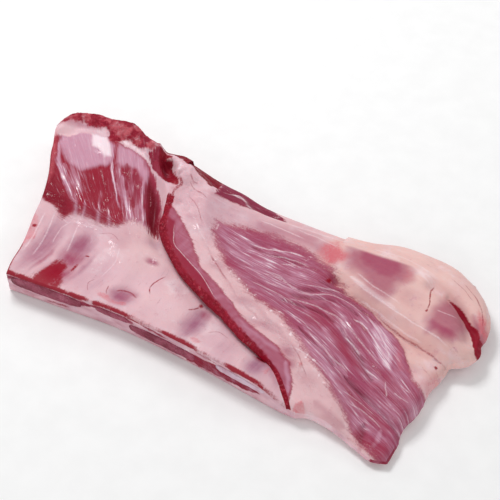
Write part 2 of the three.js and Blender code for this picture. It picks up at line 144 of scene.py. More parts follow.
def beside(x, y, line, steps=28):
    """Distance to the curve through the line's points, the share of its length there, and the side: positive
    to the left of the way it runs."""
    q = along(line, np.linspace(0, 1, steps + 1))
    distance, share, side = np.full(x.shape, 1e9), np.zeros(x.shape), np.zeros(x.shape)
    for i, (start, run) in enumerate(zip(q[:-1], np.diff(q, axis=0))):
        t = np.clip(((x - start[0]) * run[0] + (y - start[1]) * run[1]) / (run @ run), 0, 1)
        off_x, off_y = x - start[0] - t * run[0], y - start[1] - t * run[1]
        off = np.hypot(off_x, off_y)
        nearer = off < distance
        distance = np.where(nearer, off, distance)
        share = np.where(nearer, (i + t) / steps, share)
        side = np.where(nearer, np.sign(run[0] * off_y - run[1] * off_x), side)
    return distance, share, side


def stroke(x, y, line, half_width, ends=0.15):
    """1 on the line, fading to 0 over its half width, and thinning towards its ends."""
    distance, share, _ = beside(x, y, line)
    taper = np.sqrt(smooth(0, ends, share) * smooth(1, 1 - ends, share)) * 0.75 + 0.25
    return hill(distance / (half_width * taper))


def zone(x, y, corners, soft):
    """1 inside the closed outline and 0 outside, fading over soft mm on each side of it."""
    q = np.asarray(corners, float)
    distance, inside = np.full(x.shape, 1e9), np.zeros(x.shape, bool)
    for start, end in zip(q, np.roll(q, -1, axis=0)):
        run = end - start
        t = np.clip(((x - start[0]) * run[0] + (y - start[1]) * run[1]) / (run @ run), 0, 1)
        distance = np.minimum(distance, np.hypot(x - start[0] - t * run[0], y - start[1] - t * run[1]))
        if run[1]:
            crosses = ((start[1] > y) != (end[1] > y)) & (x < start[0] + run[0] * (y - start[1]) / run[1])
            inside ^= crosses
    return smooth(-soft, soft, np.where(inside, distance, -distance))


def chance(i, j, seed):
    """A fixed pseudo-random number from -1 to 1 for each whole-number place."""
    n = (i.astype(np.int64) * 73856093) ^ (j.astype(np.int64) * 19349663) ^ (seed * 83492791)
    n = ((n ^ (n >> 13)) * 1274126177) & 0x7FFFFFFF
    return ((n ^ (n >> 15)) & 0xFFFF) / 32767.5 - 1


def noise(x, y, seed=0):
    """Smooth noise from -1 to 1, whose cells are 1 wide."""
    i, j = np.floor(x), np.floor(y)
    u, v = x - i, y - j
    u, v = u * u * (3 - 2 * u), v * v * (3 - 2 * v)
    low = mix(chance(i, j, seed), chance(i + 1, j, seed), u)
    high = mix(chance(i, j + 1, seed), chance(i + 1, j + 1, seed), u)
    return mix(low, high, v)


def fractal(x, y, seed=0, octaves=3):
    """Noise summed over octaves, each twice as fine and half as high."""
    return sum(noise(x * 2**k, y * 2**k, seed + k) / 2**k for k in range(octaves)) / (2 - 0.5**(octaves - 1))


def ridges(x, y, seed=0):
    """Sharp crests at 1 and round valleys at 0, from noise folded at its middle."""
    return 1 - np.abs(fractal(x, y, seed, 2)) * 2


# ------------------------------------------------------------------ grain: the way the fibres run
FLANK_GRAIN = [  # lines that the flank's fibres follow, from near to far
    [(-60, -50), (45, -60), (80, -64), (150, -76)],
    [(-60, -4), (0, -22), (40, -27), (66, -33), (100, -46), (150, -62)],
    [(-60, 8), (0, -6), (40, -9), (66, -15), (100, -31), (150, -50)],
    [(-60, 16), (0, 3), (40, 4), (66, 2), (80, -4), (100, -17), (150, -42)],
    [(-60, 24), (0, 15), (40, 13), (66, 16), (80, 13), (95, 5), (110, -6), (150, -32)],
    [(-60, 33), (0, 27), (20, 28), (44, 27), (66, 24), (90, 18), (112, 10), (150, 0)],
    [(-60, 46), (20, 46), (62, 46), (100, 40), (150, 20)],
    [(-60, 78), (20, 68), (62, 70), (100, 76), (150, 62)],
]
RIB_GRAIN_MEETS = (-11, -80)  # the point that the fibres over the ribs run towards


def flank_grain(x, y):
    """Along and across the fibres, in mm: the share between the two guide lines that pass below and above the
    point."""
    heights = [np.interp(x, *zip(*line)) for line in FLANK_GRAIN]
    spacing = 15.0
    across = np.zeros(x.shape)
    for low, high in zip(heights[:-1], heights[1:]):
        across = across + np.clip((y - low) / (high - low), 0, 1) * spacing
    return x, across


def rib_grain(x, y):
    """Along and across the fibres over the ribs, which run in to one point, but straight across the sheet of
    fat below them."""
    dx, dy = x - RIB_GRAIN_MEETS[0], y - RIB_GRAIN_MEETS[1]
    fan_along, fan_across = np.hypot(dx, dy), np.arctan2(dy, -dx) * 150
    sheet = smooth(2, -18, y)
    return mix(fan_along, y, sheet), mix(fan_across, x, sheet)


# ------------------------------------------------------------------ heights
def underside_height(x, y):
    return FAR_LIFT * smooth(-8, 60, y) * smooth(-62, -125, x) + 2 * smooth(-120, -160, x)


def from_lip(x, y):
    return beside(x, y, plan(LIP), 60)[0]


def rib_height(x, y):
    """The rib sheet: a level, the rise over the breastbone, hollows between the ribs, the climb to the far edge
    with its roll of muscle, and the gutter beside the lip."""
    sheet = (1 - smooth(-22, -8, y)) * smooth(-60, -46, y)
    breastbone = SAWN_RISE * hill((y + 64) / 15) - SAWN_FALL * smooth(50, 80, x) * hill((y + 68) / 17)
    hollows = sum(1.8 * hill((x - middle) / 8) for middle in INTERCOSTAL_SPACES)
    climb = (FAR_RISE - 5 * smooth(-125, -80, x)) * smooth(-16, 62, y)
    gutter = 2.6 * hill((from_lip(x, y) - 6) / 4) * smooth(-14, 4, y) * smooth(50, 34, y)
    swell = 1.2 * hill((y + 16) / 9) * smooth(-60, -80, x)
    from_far = beside(x, y, plan(FAR_RIB_EDGE))[0]
    far_roll = 1.6 * hill((from_far - 5) / 4) - 1.2 * hill((from_far - 14) / 4)
    return RIB_LEVEL + breastbone - hollows * sheet + climb - gutter + swell + far_roll


def beyond_membrane(x, y):
    """How far past the free edge of the belly membrane a point lies, towards the far edge."""
    edge = along(MEMBRANE_EDGE, np.linspace(0, 1, 25))
    past = y > np.interp(x, edge[:, 0], edge[:, 1], left=1e9, right=1e9)
    return np.where(past, beside(x, y, MEMBRANE_EDGE)[0], 0)


def flank_height(x, y):
    """The skirt with its ridge of fat, the flank muscle, the mounds of the tucked end, less the creases."""
    away = from_lip(x, y)
    skirt = SKIRT_RISE * (1 - smooth(22, 46, away)) - 1.1 * hill((away - 11) / 5)
    ridge = FAT_RISE * hill((away - 25) / 8)
    mounds = sum(mound(x, y, *m) for m in (TUCKED_END, LOWER_LOBE, FLANK_MUSCLE, FAT_KNOB, PIT))
    folds = sum(depth * hill(beside(x, y, line)[0] / width) for depth, width, line in CREASES)
    fall = FLANK_FALL * smooth(-38, -68, y) + MEMBRANE_DROP * smooth(0, 5, beyond_membrane(x, y))
    return FLANK_LEVEL + skirt + ridge + mounds - folds - fall


def squareness(x, y):
    """1 where the edge was sawn or cut square, 0 where it is round fat or membrane."""
    sawn = smooth(92, 58, x) * smooth(-30, -58, y)
    return 1 - (1 - sawn) * (1 - 0.7 * smooth(-96, -112, x))


def tuck(x, y):
    """1 at the tucked end, which is thick and round."""
    return smooth(60, 105, x) * smooth(-12, 8, y)


def quarter_round(distance, radius):
    return np.sqrt(1 - np.square(1 - np.clip(distance / radius, 0, 1)))


# ------------------------------------------------------------------ tissues
# Zones and lines in plan mm, read off the flap's inside. A painted line has its strength, half width and points.
RED_BAND = [(-170, 38), (-153, 38), (-146, 42), (-139, 46), (-131, 50), (-122, 52), (-112, 51), (-101, 51),
            (-92, 50), (-84, 45), (-77, 39), (-69, 31), (-62, 20), (-57, 10), (-52, 2), (-60, 3), (-68, 6),
            (-76, 5), (-80, -3), (-87, -6), (-96, -7), (-106, -6), (-111, -8), (-114, -15), (-119, -12),
            (-126, -8), (-134, -7), (-142, -4), (-156, 10)]
SILVER_ZONES = [  # strength, softness and outline
    (0.92, 3.0, [(-154, 43), (-146, 48), (-136, 51), (-127, 54), (-118, 53), (-110, 40), (-110, 33), (-116, 29),
                 (-124, 22), (-134, 23), (-143, 28), (-149, 33)]),
    (0.85, 3.0, [(-114, 50), (-100, 51), (-92, 49), (-84, 42), (-80, 34), (-85, 33), (-92, 40), (-99, 36),
                 (-106, 36)]),
    (0.50, 5.0, [(-136, 24), (-120, 22), (-112, 14), (-116, 4), (-128, 10)]),
    (0.50, 4.0, [(-86, 24), (-78, 20), (-64, 8), (-78, 3), (-88, 10)]),
]
# A painted highlight on the glossy silverskin patch over the ribs, laid into the white mask.
SILVER_PAINTED_HIGHLIGHT = [(-134, 50), (-122, 52), (-116, 46), (-111, 39), (-116, 37), (-122, 40), (-128, 40)]
SILVER_STREAKS = [
    (0.95, 1.7, [(-150, 35), (-146, 28), (-141, 21), (-134, 14), (-127, 9), (-120, 4)]),
    (0.50, 3.0, [(-138, 22), (-130, 13), (-122, 6), (-116, 0)]),
    (0.95, 1.0, [(-119, 51), (-112, 41), (-104, 28), (-96, 19), (-87, 9)]),
    (0.55, 2.2, [(-111, 48), (-105, 38), (-99, 28), (-92, 18)]),
    (0.80, 2.8, [(-98, 31), (-91, 22), (-83, 13), (-74, 7)]),
    (0.70, 1.8, [(-103, 50), (-97, 40), (-90, 29), (-84, 20)]),
    (0.80, 1.8, [(-87, 40), (-81, 28), (-75, 17), (-67, 8)]),
    (0.45, 1.3, [(-106, 16), (-99, 4), (-93, -7)]),
    (0.45, 1.0, [(-112, 8), (-107, -2), (-103, -9)]),
    (0.50, 1.5, [(-120, 8), (-114, -1), (-109, -9)]),
    (0.40, 1.2, [(-96, 10), (-90, 1), (-85, -6)]),
    (0.45, 3.5, [(-80, 12), (-72, 8), (-62, 4)]),
]
RED_TONGUES = [
    (0.9, 2.4, [(-100, 40), (-94, 30), (-90, 23)]),
    (0.9, 2.6, [(-92, 37), (-86, 26), (-79, 14)]),
    (0.6, 4.0, [(-108, 24), (-100, 12), (-92, 1)]),
    (0.6, 4.0, [(-122, 22), (-112, 14), (-104, 4), (-98, -5)]),
]
DEEP_CORNER = [(-154, 26), (-147, 22), (-140, 13), (-130, 8), (-122, 2), (-115, -8), (-114, -14), (-122, -10),
               (-134, -6), (-144, -4)]
GUTTER = [(-82, 38), (-76, 35), (-70, 29), (-64, 20), (-59, 11), (-53, 2), (-60, 4), (-66, 10), (-72, 18),
          (-78, 27)]
FAR_RIM = [(-172, 41), (-160, 47), (-152, 51), (-143, 54), (-136, 55), (-128, 56.5), (-122, 54), (-120, 50),
           (-116, 49), (-113, 53), (-112, 57), (-106, 56), (-99, 56), (-93, 59), (-88, 63), (-88, 80),
           (-172, 80)]
RIM_LINE = [(-163, 45), (-152, 50), (-141, 54), (-130, 57)]
BRIGHT_STRIP = [(-162, 41), (-151, 46), (-139, 50), (-125, 54), (-110, 54), (-98, 53), (-88, 50)]
FILM_STRIP = [(-94, 54), (-85, 48), (-77, 42), (-70, 34), (-64, 24), (-60, 14)]
RIB_STAINS = [  # middle x and y, half widths, strength of grey and of rose
    (-113, -40, 8.0, 25, 0.75, 0.48),
    (-117, -30, 2.4, 16, 0.70, 0.30),
    (-106, -48, 2.0, 15, 0.25, 0.70),
    (-93, -27, 8, 11, 1.00, 0.70),
    (-92, -38, 9, 10, 0.65, 0.90),
    (-91, -54, 10, 13, 0.35, 1.00),
    (-81, -42, 3, 16, 0.50, 0.35),
    (-69, -36, 6, 18, 0.25, 0.00),
    (-66, -53, 3, 12, 0.35, 0.10),
    (-47, -50, 7.5, 8, 1.00, 0.75),
    (-43, -44, 5, 3, 0.30, 0.60),
    (-46, -16.5, 4.5, 2.0, 0.50, 0.90),
    (-53, -4, 8, 5, 0.50, 0.05),
    (-98, -12, 8, 4, 0.35, 0.15),
    (2, -46, 6.5, 14, 1.00, 0.45),
    (4, -36, 4, 4.5, 0.20, 0.80),
    (50, -56, 6.5, 9, 1.00, 0.30),
    (49, -49, 5, 2.6, 0.30, 0.80),
    (28, -53, 10, 8, 0.25, 0.15),
    (-20, -25, 6, 6, 0.20, 0.30),
]
BLOOD_STAIN = [(-100, -44), (-96, -40), (-91, -46), (-88, -54), (-82, -60), (-81, -68), (-104, -68), (-99, -56)]
BLOOD_SPOTS = [(-2, -31, 1.4, 1.6), (49, -49, 4, 1.2), (141, -4.5, 1.1, 1.6), (121, 26, 0.9, 0.9),
               (-84, -32, 1.5, 1.0), (-86, -44, 0.9, 3.5), (57, 24, 1.5, 2.5), (-127, -28, 1.6, 1.2)]
RED_LINES = [  # vessels
    (0.90, 0.45, [(-32, -22), (-35, -27), (-36.5, -32), (-35.5, -36), (-33, -40)]),
    (0.80, 0.40, [(-59, -46), (-57, -51), (-55, -54)]),
    (0.80, 0.50, [(-7, -38), (-4, -35), (-2, -32)]),
    (0.90, 0.45, [(117.5, 48), (117, 43), (118.5, 37), (120.5, 31), (121, 26)]),
    (0.70, 0.60, [(-53, -48), (-50, -44.5), (-44, -43.5), (-38, -46)]),
    (0.80, 0.90, [(-63, 45), (-59, 42), (-61, 36), (-60, 31)]),
    (0.55, 0.45, [(94, 15), (104, 11), (116, 7.5), (128, 5), (140, 2), (148, 0.5)]),
    (0.60, 0.45, [(-74, 56), (-70, 51), (-66, 45), (-65, 39)]),
    (0.45, 0.40, [(-56, 46), (-50, 43), (-44, 42), (-38, 40)]),
    (0.40, 0.40, [(-52, 38), (-45, 34), (-38, 28), (-31, 20)]),
    (0.45, 0.45, [(-14, 1), (-8, -3), (-2, -7), (6, -12)]),
    (0.35, 0.40, [(62, -35), (70, -41), (80, -50)]),
    (0.50, 0.60, [(-57, 50), (-53, 47), (-50, 48)]),
    (0.60, 0.35, [(140, 53), (147, 47), (152, 40), (155, 34)]),
    (0.50, 0.30, [(132, 57), (142, 51), (149, 44)]),
    (0.40, 0.30, [(124, 56), (134, 52), (143, 46)]),
    (0.50, 0.35, [(-66, -58), (-70, -52), (-69, -46)]),
    (0.40, 0.30, [(-88, -14), (-80, -10), (-72, -13)]),
    (0.45, 0.30, [(12, -48), (18, -44), (26, -46)]),
]
SEAM = [(-118, 0.9), (-90, 1), (-66, 0.8), (-60, 0.2), (-57, 0.9), (-40, 0.9), (-30, 0.3), (-14, 0.4), (-8, 0.9),
        (10, 0.9), (16, 0.3), (32, 0.3), (38, 0.9), (56, 0.9), (64, 0.4), (77, 0.3)]
SAWN_SEAMS = [  # down the sawn face: strength, half width, and points in x and height
    (0.90, 1.6, [(-119, 17), (-110, 18), (-98, 17.5), (-88, 18), (-76, 17.5), (-66, 16.5)]),
    (0.50, 1.2, [(-119, 12), (-112, 10), (-104, 9)]),
    (0.90, 1.5, [(-59, 16), (-52, 17.5), (-44, 18), (-34, 17), (-28, 16)]),
    (0.55, 1.2, [(-28, 15.5), (-20, 15), (-12, 14.5), (-4, 13.5)]),
    (0.90, 1.6, [(-10, 18.5), (0, 18.5), (9, 18), (14, 17)]),
    (0.60, 1.0, [(12, 16), (24, 15), (34, 14.5), (42, 16)]),
    (0.90, 1.8, [(38, 17), (46, 18.5), (54, 18.5), (60, 17)]),
    (0.80, 1.6, [(60, 16.5), (68, 15), (76, 12)]),
    (0.70, 1.2, [(-92, 3.6), (-84, 4.2), (-75, 4.4)]),
]
SAWN_BANDS = [
    (0.95, 3.8, [(-119, 14), (-100, 12), (-84, 11.5), (-70, 12.5), (-60, 14)]),
    (0.90, 2.2, [(-60, 14.5), (-50, 14), (-40, 14), (-30, 13)]),
    (0.80, 1.6, [(-24, 14.5), (-17, 15), (-9, 14)]),
    (0.95, 2.8, [(-32, 10.5), (-20, 8), (0, 8), (14, 7.5)]),
    (0.70, 1.8, [(62, 15), (70, 13), (77, 9)]),
    (0.90, 1.8, [(90, 2), (97, -0.5), (104, 1)]),
    (0.95, 2.4, [(120, 10), (126, 8.5), (131, 8)]),
]
SAWN_BLUSHES = [(0.7, 1.6, [(-116, 6), (-106, 4.5), (-96, 5)]), (0.6, 2, [(-30, 4), (-16, 2), (4, 1.5)])]
LOOSE_FAT = [  # scraps of fat on the sheet
    [(-61, -55), (-55, -53), (-47, -56), (-44, -52), (-40, -57), (-48, -59.5), (-58, -58.5)],
    [(6, -57), (10, -55), (13, -57.5), (14, -60), (8, -60)],
    [(55, -58), (56.5, -53), (58, -57), (57.5, -61)],
    [(-136, -18), (-129, -20), (-124, -28), (-122, -37), (-124, -46), (-128, -53), (-136, -46)],
    [(79, -75), (80, -66), (84, -63), (89, -67), (92, -75)],
    [(70, -44), (72, -42.5), (74, -45), (72, -46.5)],
]
LIP_BAND = [  # share of the lip's length, and the width of its cut face from above
    (0, 1.5), (0.2, 1.2), (0.3, 1.2), (0.35, 1.8), (0.42, 1.2), (0.57, 1.2), (0.63, 2.0), (0.7, 3.2), (0.77, 4.4),
    (0.79, 4.2), (0.8, 1.5), (0.81, -3), (1, -3)]
SKIRT = [(-62, 30), (-54, 26), (-46, 20), (-38, 15), (-30, 7), (-20, -1), (-13, -8), (-5, -12), (4, -16), (12, -19.5),
         (22, -26), (33, -31), (43, -34), (56, -38), (66, -43.5), (72, -50), (77, -60), (81, -71), (72, -78),
         (40, -58), (0, -42), (-40, -22), (-62, 6)]
SKIRT_FILMS = [  # strength, half width and line
    (0.62, 3.0, [(-38, 14), (-28, 6), (-20, -2), (-8, -10), (6, -18), (17, -26)]),
    (0.62, 3.2, [(26, -33), (38, -38), (50, -40), (58, -42)]),
    (0.75, 2.8, [(64, -46), (70, -54), (74, -62)]),
    (0.45, 6.0, [(-46, 19), (-41, 11), (-35, 4)]),
]
SKIRT_CRESCENT = [(-48, 15), (-44, 7), (-38, -2), (-28, -7), (-19, -11), (-11, -15), (-6, -18), (2, -24), (6, -28),
                  (-9, -26), (-21, -20), (-33, -12), (-42, -4), (-50, 7), (-54, 16)]
FIBRES = [(-27, 30), (-23, 20), (-15, 9), (-5, 1), (4, -5), (14, -10), (28, -17), (44, -20), (58, -27),
          (74, -38), (88, -47), (98, -53), (108, -59), (116, -66), (124, -69), (134, -73), (142, -82), (170, -82),
          (170, -24), (142, -23), (134, -20), (128, -14), (123, -6), (115, 2), (107, 7), (100, 11), (94, 14),
          (87, 17), (80, 19.5), (72, 21), (68, 24), (62, 28), (54, 33), (44, 36), (36, 38), (26, 40), (14, 40),
          (0, 38), (-14, 35)]
FAT_RIDGE = [(-24, 24), (-19, 13), (-8, 6), (4, -3), (14, -9), (28, -16), (44, -20), (58, -27), (74, -38),
             (88, -48), (100, -56), (110, -61), (118, -68), (128, -71), (138, -82), (79, -82), (78, -68),
             (76, -60), (71, -51), (66, -45), (56, -39.5), (43, -35.5), (33, -32.5), (22, -27.5), (12, -21),
             (4, -17), (-5, -13), (-14, -9), (-21, -2), (-30, 6), (-38, 14), (-46, 20), (-56, 27), (-52, 34),
             (-40, 34), (-30, 30)]
TORN_FAT = [(-72, 60), (-62, 54), (-48, 51), (-42, 44), (-37, 30), (-24, 23), (-14, 8), (0, -5), (20, -15), (40, -23),
            (60, -33), (78, -44), (90, -54), (84, -60), (70, -48), (50, -34), (30, -27), (10, -17), (-8, -6),
            (-22, 7), (-36, 20), (-50, 25), (-62, 30), (-68, 42)]
RIDGE_GROOVES = [
    (0.35, 1.0, [(-20, 6), (-10, -2), (0, -9), (10, -15), (22, -22), (36, -28), (48, -33)]),
    (0.30, 2.5, [(20, -18), (36, -23), (52, -30), (66, -38)]),
    (0.40, 3.0, [(90, -60), (100, -64), (112, -66)]),
]
MEMBRANE = [(-40, 50), (-30, 51), (-12, 51), (2, 48), (6, 42), (-8, 38), (-16, 32), (-16, 22), (-12, 12),
            (-20, 8), (-30, 16), (-36, 26), (-40, 38)]
FAR_MUSCLE = [(-37.5, 47), (-32, 48.5), (-24, 50), (-12, 51), (0, 52.5), (12, 56), (2, 60), (-6, 64), (-14, 80),
              (-46, 80), (-41, 62), (-39, 54)]
PIT_FLOOR = [(-94, 57), (-91, 62), (-85, 65), (-80, 64), (-76, 59), (-72, 53), (-68, 47), (-62, 43), (-61, 40),
             (-69, 41), (-76, 43), (-84, 46), (-90, 51)]
PIT_SHADE = [(-88, 58), (-84, 60), (-79, 58), (-75, 52), (-72, 47), (-77, 47), (-84, 51)]
KNOB_GAP = [(-92, 80), (-92, 65), (-85, 66), (-79, 66), (-73, 65), (-66, 61), (-62, 58), (-57, 55.5), (-50, 53.5),
            (-43, 52), (-40, 54), (-41, 61), (-44, 80)]
KNOB_ROLL = [(-82, 60), (-78, 62.5), (-73, 60.5), (-68, 54), (-64, 46)]
FAN_STRANDS = [
    (0.50, 0.9, [(-54, 42), (-42, 43.5), (-28, 46), (-16, 47)]),
    (0.45, 0.8, [(-54, 38), (-40, 38.5), (-26, 39), (-10, 37)]),
    (0.45, 0.8, [(-52, 35), (-38, 34), (-24, 34), (-12, 33)]),
    (0.50, 0.9, [(-50, 32), (-38, 27), (-27, 19), (-20, 12)]),
    (0.50, 0.9, [(-48, 29), (-38, 22), (-28, 13), (-18, 5)]),
    (0.40, 0.8, [(-46, 45), (-34, 48.5), (-20, 50)]),
    (0.60, 0.9, [(-42, 56), (-40, 53), (-36, 50)]),
    (0.60, 2.8, [(68, 31), (80, 26.5), (92, 23), (104, 20)]),
    (0.35, 2.6, [(128, 32), (136, 30), (143, 29)]),
]
LOBE_BRUISES = [  # strength, softness and outline
    (0.85, 7.5, [(58, 52), (72, 60), (94, 60), (101, 50), (104, 42), (99, 35), (97, 27), (92, 22), (83, 25),
                 (76, 30), (69, 34), (62, 38), (57, 44)]),
    (1.00, 7.0, [(62, 54), (74, 62), (92, 62), (100, 46), (95, 36), (84, 33), (72, 38), (64, 44)]),
    (0.85, 3.5, [(147, 38), (153, 36), (158, 31), (161, 24), (161, 14), (156, 21), (151, 29)]),
    (0.82, 6.0, [(126, 42), (133, 42), (140, 38), (146, 32), (149, 24), (148, 16), (140, 11), (129, 12), (123, 18),
                 (124, 30)]),
    (1.00, 4.5, [(125, 24), (134, 21), (143, 21), (147, 17), (144, 12), (137, 11), (128, 12), (124, 18)]),
    (0.60, 7.0, [(-4, 44), (20, 50), (46, 49), (56, 44), (56, 34), (44, 37), (20, 40), (0, 38)]),
]
FLANK_STAINS = [  # middle x and y, half widths, strength of grey and of rose
    (-20, 40, 16, 8, 0.40, 0.06),
    (-26, 28, 8, 8, 0.10, 0.02),
    (-31, 14, 6, 4, 0.15, 0.20),
    (4, 40, 20, 8, 0.50, 0.22),
    (30, 47, 16, 6, 0.10, 0.60),
    (-46, 12, 6, 5, 0.10, 0.20),
    (-40, 22, 8, 5, 0.10, 0.30),
    (-4, -4, 12, 5, 0.15, 0.35),
    (22, -20, 12, 4, 0.15, 0.40),
    (40, -30, 14, 4, 0.20, 0.45),
    (62, -40, 8, 5, 0.20, 0.60),
    (66, -47, 5, 5, 0.10, 0.80),
    (-57, 30, 5, 4, 0.10, 0.40),
    (80, -50, 10, 5, 0.05, 0.35),
    (98, -71, 12, 3.5, 0.15, 0.85),
    (106, 30, 8, 8, 0.00, 0.36),
    (110, 32, 10, 8, 0.05, 0.25),
    (104, 16, 16, 6, 0.15, 0.12),
    (128, 0, 14, 6, 0.00, 0.20),
    (130, -12, 10, 5, 0.00, 0.35),
    (118, -2, 5, 6, 0.00, 0.45),
    (90, 24, 9, 4, 0.35, 0.35),
    (112, 24, 5, 8, 0.00, 0.15),
]
CORAL_ZONES = [
    (0.85, 5.0, [(42, 49), (52, 52), (60, 47), (60, 39), (52, 34), (44, 39)]),
    (0.40, 5.0, [(97, 51), (104, 50), (107, 43), (102, 37), (98, 42)]),
    (0.85, 4.0, [(149, 42), (155, 40), (161, 32), (161, 20), (155, 30), (151, 35)]),
    (0.50, 4.0, [(112, 0), (118, -4), (124, -12), (130, -16), (124, -18), (116, -10)]),
    (0.40, 5.0, [(144, -6), (150, -14), (148, -22), (138, -20), (136, -12)]),
    (0.30, 3.0, [(-68, 42), (-62, 44), (-58, 36), (-62, 32)]),
    (0.25, 4.0, [(80, -66), (94, -64), (110, -68), (118, -74), (80, -74)]),
]
TUCK_WEDGE = [(128, 44), (137, 41), (144, 36.5), (149, 32.5), (153, 31), (157, 26), (160, 19), (161, 13), (158.5, 13),
              (155, 19), (151, 25.5), (147, 29.5), (142, 34), (135.5, 39), (128, 43)]
DARK_GAP = [(147, 2.5), (151, 1), (156, 2)]
MUSCLE_FILMS = [
    (0.85, 4.5, [(100, 8), (105, 0), (111, -8), (117, -15)]),
    (0.55, 2.5, [(92, -2), (100, -9), (108, -16), (118, -24)]),
    (0.75, 2.0, [(62, -20), (70, -24), (78, -27), (88, -31), (100, -37)]),
    (0.60, 1.6, [(56, -24), (66, -29), (76, -33), (84, -37)]),
    (0.60, 2.6, [(72, -42), (82, -46), (92, -51), (104, -54)]),
    (0.50, 1.8, [(-16, 31), (-10, 22), (0, 12)]),
    (0.50, 1.6, [(-10, 32), (-2, 24), (10, 16)]),
    (0.45, 3.0, [(0, 20), (8, 12), (18, 5)]),
    (0.50, 3.5, [(4, 36), (20, 38), (36, 37), (50, 33)]),
    (0.45, 2.0, [(20, -12), (34, -15), (48, -18)]),
    (0.50, 2.0, [(108, -50), (120, -50), (132, -54)]),
    (0.55, 1.6, [(84, -8), (96, -14), (108, -24), (118, -33)]),
    (0.60, 2.2, [(143, -26), (143, -40), (142, -56)]),
    (0.80, 2.4, [(131, -57), (131.5, -65), (130, -74)]),
]
MUSCLE_PATCHES = [
    (1.00, 3.0, [(95, 9), (103, 7), (111, -1), (117, -10), (121, -21), (115, -20), (107, -14), (99, -5)]),
    (0.70, 4.0, [(80, -38), (92, -38), (98, -43), (92, -46), (82, -43)]),
    (0.65, 4.0, [(122, -36), (134, -38), (140, -42), (130, -44)]),
]
RED_MUSCLES = [
    (0.90, 4.0, [(76, -8), (86, -14), (98, -22), (108, -28), (100, -29), (86, -22), (76, -15)]),
    (0.55, 5.0, [(116, -22), (130, -25), (142, -28), (142, -44), (126, -40), (114, -34)]),
    (0.80, 4.0, [(106, -44), (122, -48), (136, -52), (134, -57), (118, -55), (104, -50)]),
    (0.60, 4.0, [(58, 3), (72, 3), (78, -3), (70, -14), (58, -12)]),
    (0.60, 4.0, [(96, -38), (112, -43), (126, -50), (110, -50), (96, -46)]),
    (0.80, 3.0, [(118, -62), (140, -64), (142, -76), (118, -76)]),
    (0.50, 4.0, [(46, 30), (60, 28), (66, 22), (52, 22)]),
]
# White fibres on the flank: strength, half width and line.
WHITE_LINES = [
    (0.40, 0.30, [(-48, 15), (-44, 7), (-38, -2), (-28, -7), (-19, -11), (-11, -15), (-6, -18), (2, -24), (9, -28)]),
    (0.53, 0.45, [(-1, 26), (10, 27), (20, 30), (28, 32), (38, 32)]),
    (0.37, 0.38, [(8, 23), (18, 25), (30, 27.5), (44, 27)]),
    (0.40, 0.45, [(25, 20), (32, 23), (40, 23.5)]),
    (0.34, 0.38, [(20, 10), (30, 11), (42, 7.5), (54, 8)]),
    (0.40, 0.38, [(20, 7.5), (32, 9), (44, 6)]),
    (0.37, 0.45, [(18, -6), (30, -4), (42, -3), (52, -4)]),
    (0.40, 0.55, [(44, 5), (52, 7), (62, 12), (70, 14), (78, 13), (88, 9)]),
    (0.34, 0.55, [(40, -3), (50, 0), (62, 1.5), (72, 1), (80, -2), (92, -8), (104, -15), (112, -20)]),
    (0.37, 0.45, [(46, 12), (55, 15), (65, 18), (76, 20)]),
    (0.34, 0.55, [(64, -20), (70, -24), (78, -27), (86, -31), (94, -32), (100, -36)]),
    (0.34, 0.45, [(60, -36), (72, -38), (84, -42), (92, -45)]),
    (0.43, 0.38, [(120, -29), (122, -33), (125, -38)]),
    (0.37, 0.38, [(128, -26), (132, -28), (136, -29)]),
    (0.37, 0.38, [(127, -33), (132, -34.5), (138, -35)]),
    (0.31, 0.38, [(105, -52), (118, -52), (132, -56)]),
    (0.28, 0.30, [(100, -48), (112, -48), (126, -51)]),
    (0.50, 0.55, [(84, 3), (90, 2), (96, -1)]),
    (0.37, 0.52, [(98, 4), (108, -4), (116, -14)]),
    (0.50, 0.45, [(84, -9), (92, -13), (99, -18)]),
    (0.37, 0.45, [(98, -12), (106, -16), (112, -20)]),
    (0.43, 0.52, [(-24, 28.5), (-23, 25), (-22, 22)]),
    (0.28, 0.38, [(44, -14), (56, -15), (68, -19)]),
    (0.25, 0.38, [(46, -8), (58, -8), (70, -11)]),
    (0.40, 0.50, [(70, 35), (80, 31), (92, 27.5), (106, 24)]),
    (0.46, 0.45, [(70, 29), (78, 26.5), (88, 23.5), (100, 20), (114, 16.5), (130, 12), (146, 8)]),
    (0.43, 0.45, [(78, 21), (90, 18), (102, 13.5), (116, 9.5), (130, 6)]),
    (0.40, 0.50, [(-128, -14), (-124.5, -30), (-121, -50)]),
    (0.35, 0.50, [(-122, -12), (-118, -28), (-114.5, -50)]),
    (0.35, 0.50, [(-103, -14), (-100, -26), (-98, -36)]),
    (0.30, 0.40, [(-108, -12), (-112, -22), (-110, -34)]),
    (0.30, 0.40, [(-70, -16), (-66, -28), (-67, -44)]),
    (0.40, 0.45, [(126, 29), (133, 29), (139, 31)]),
    (0.37, 0.45, [(-4, 46), (14, 46), (30, 45.5)]),
    (0.31, 0.45, [(20, 50), (36, 50), (52, 49)]),
    (0.22, 0.55, [(70, 56), (84, 58), (98, 57), (112, 53)]),
]
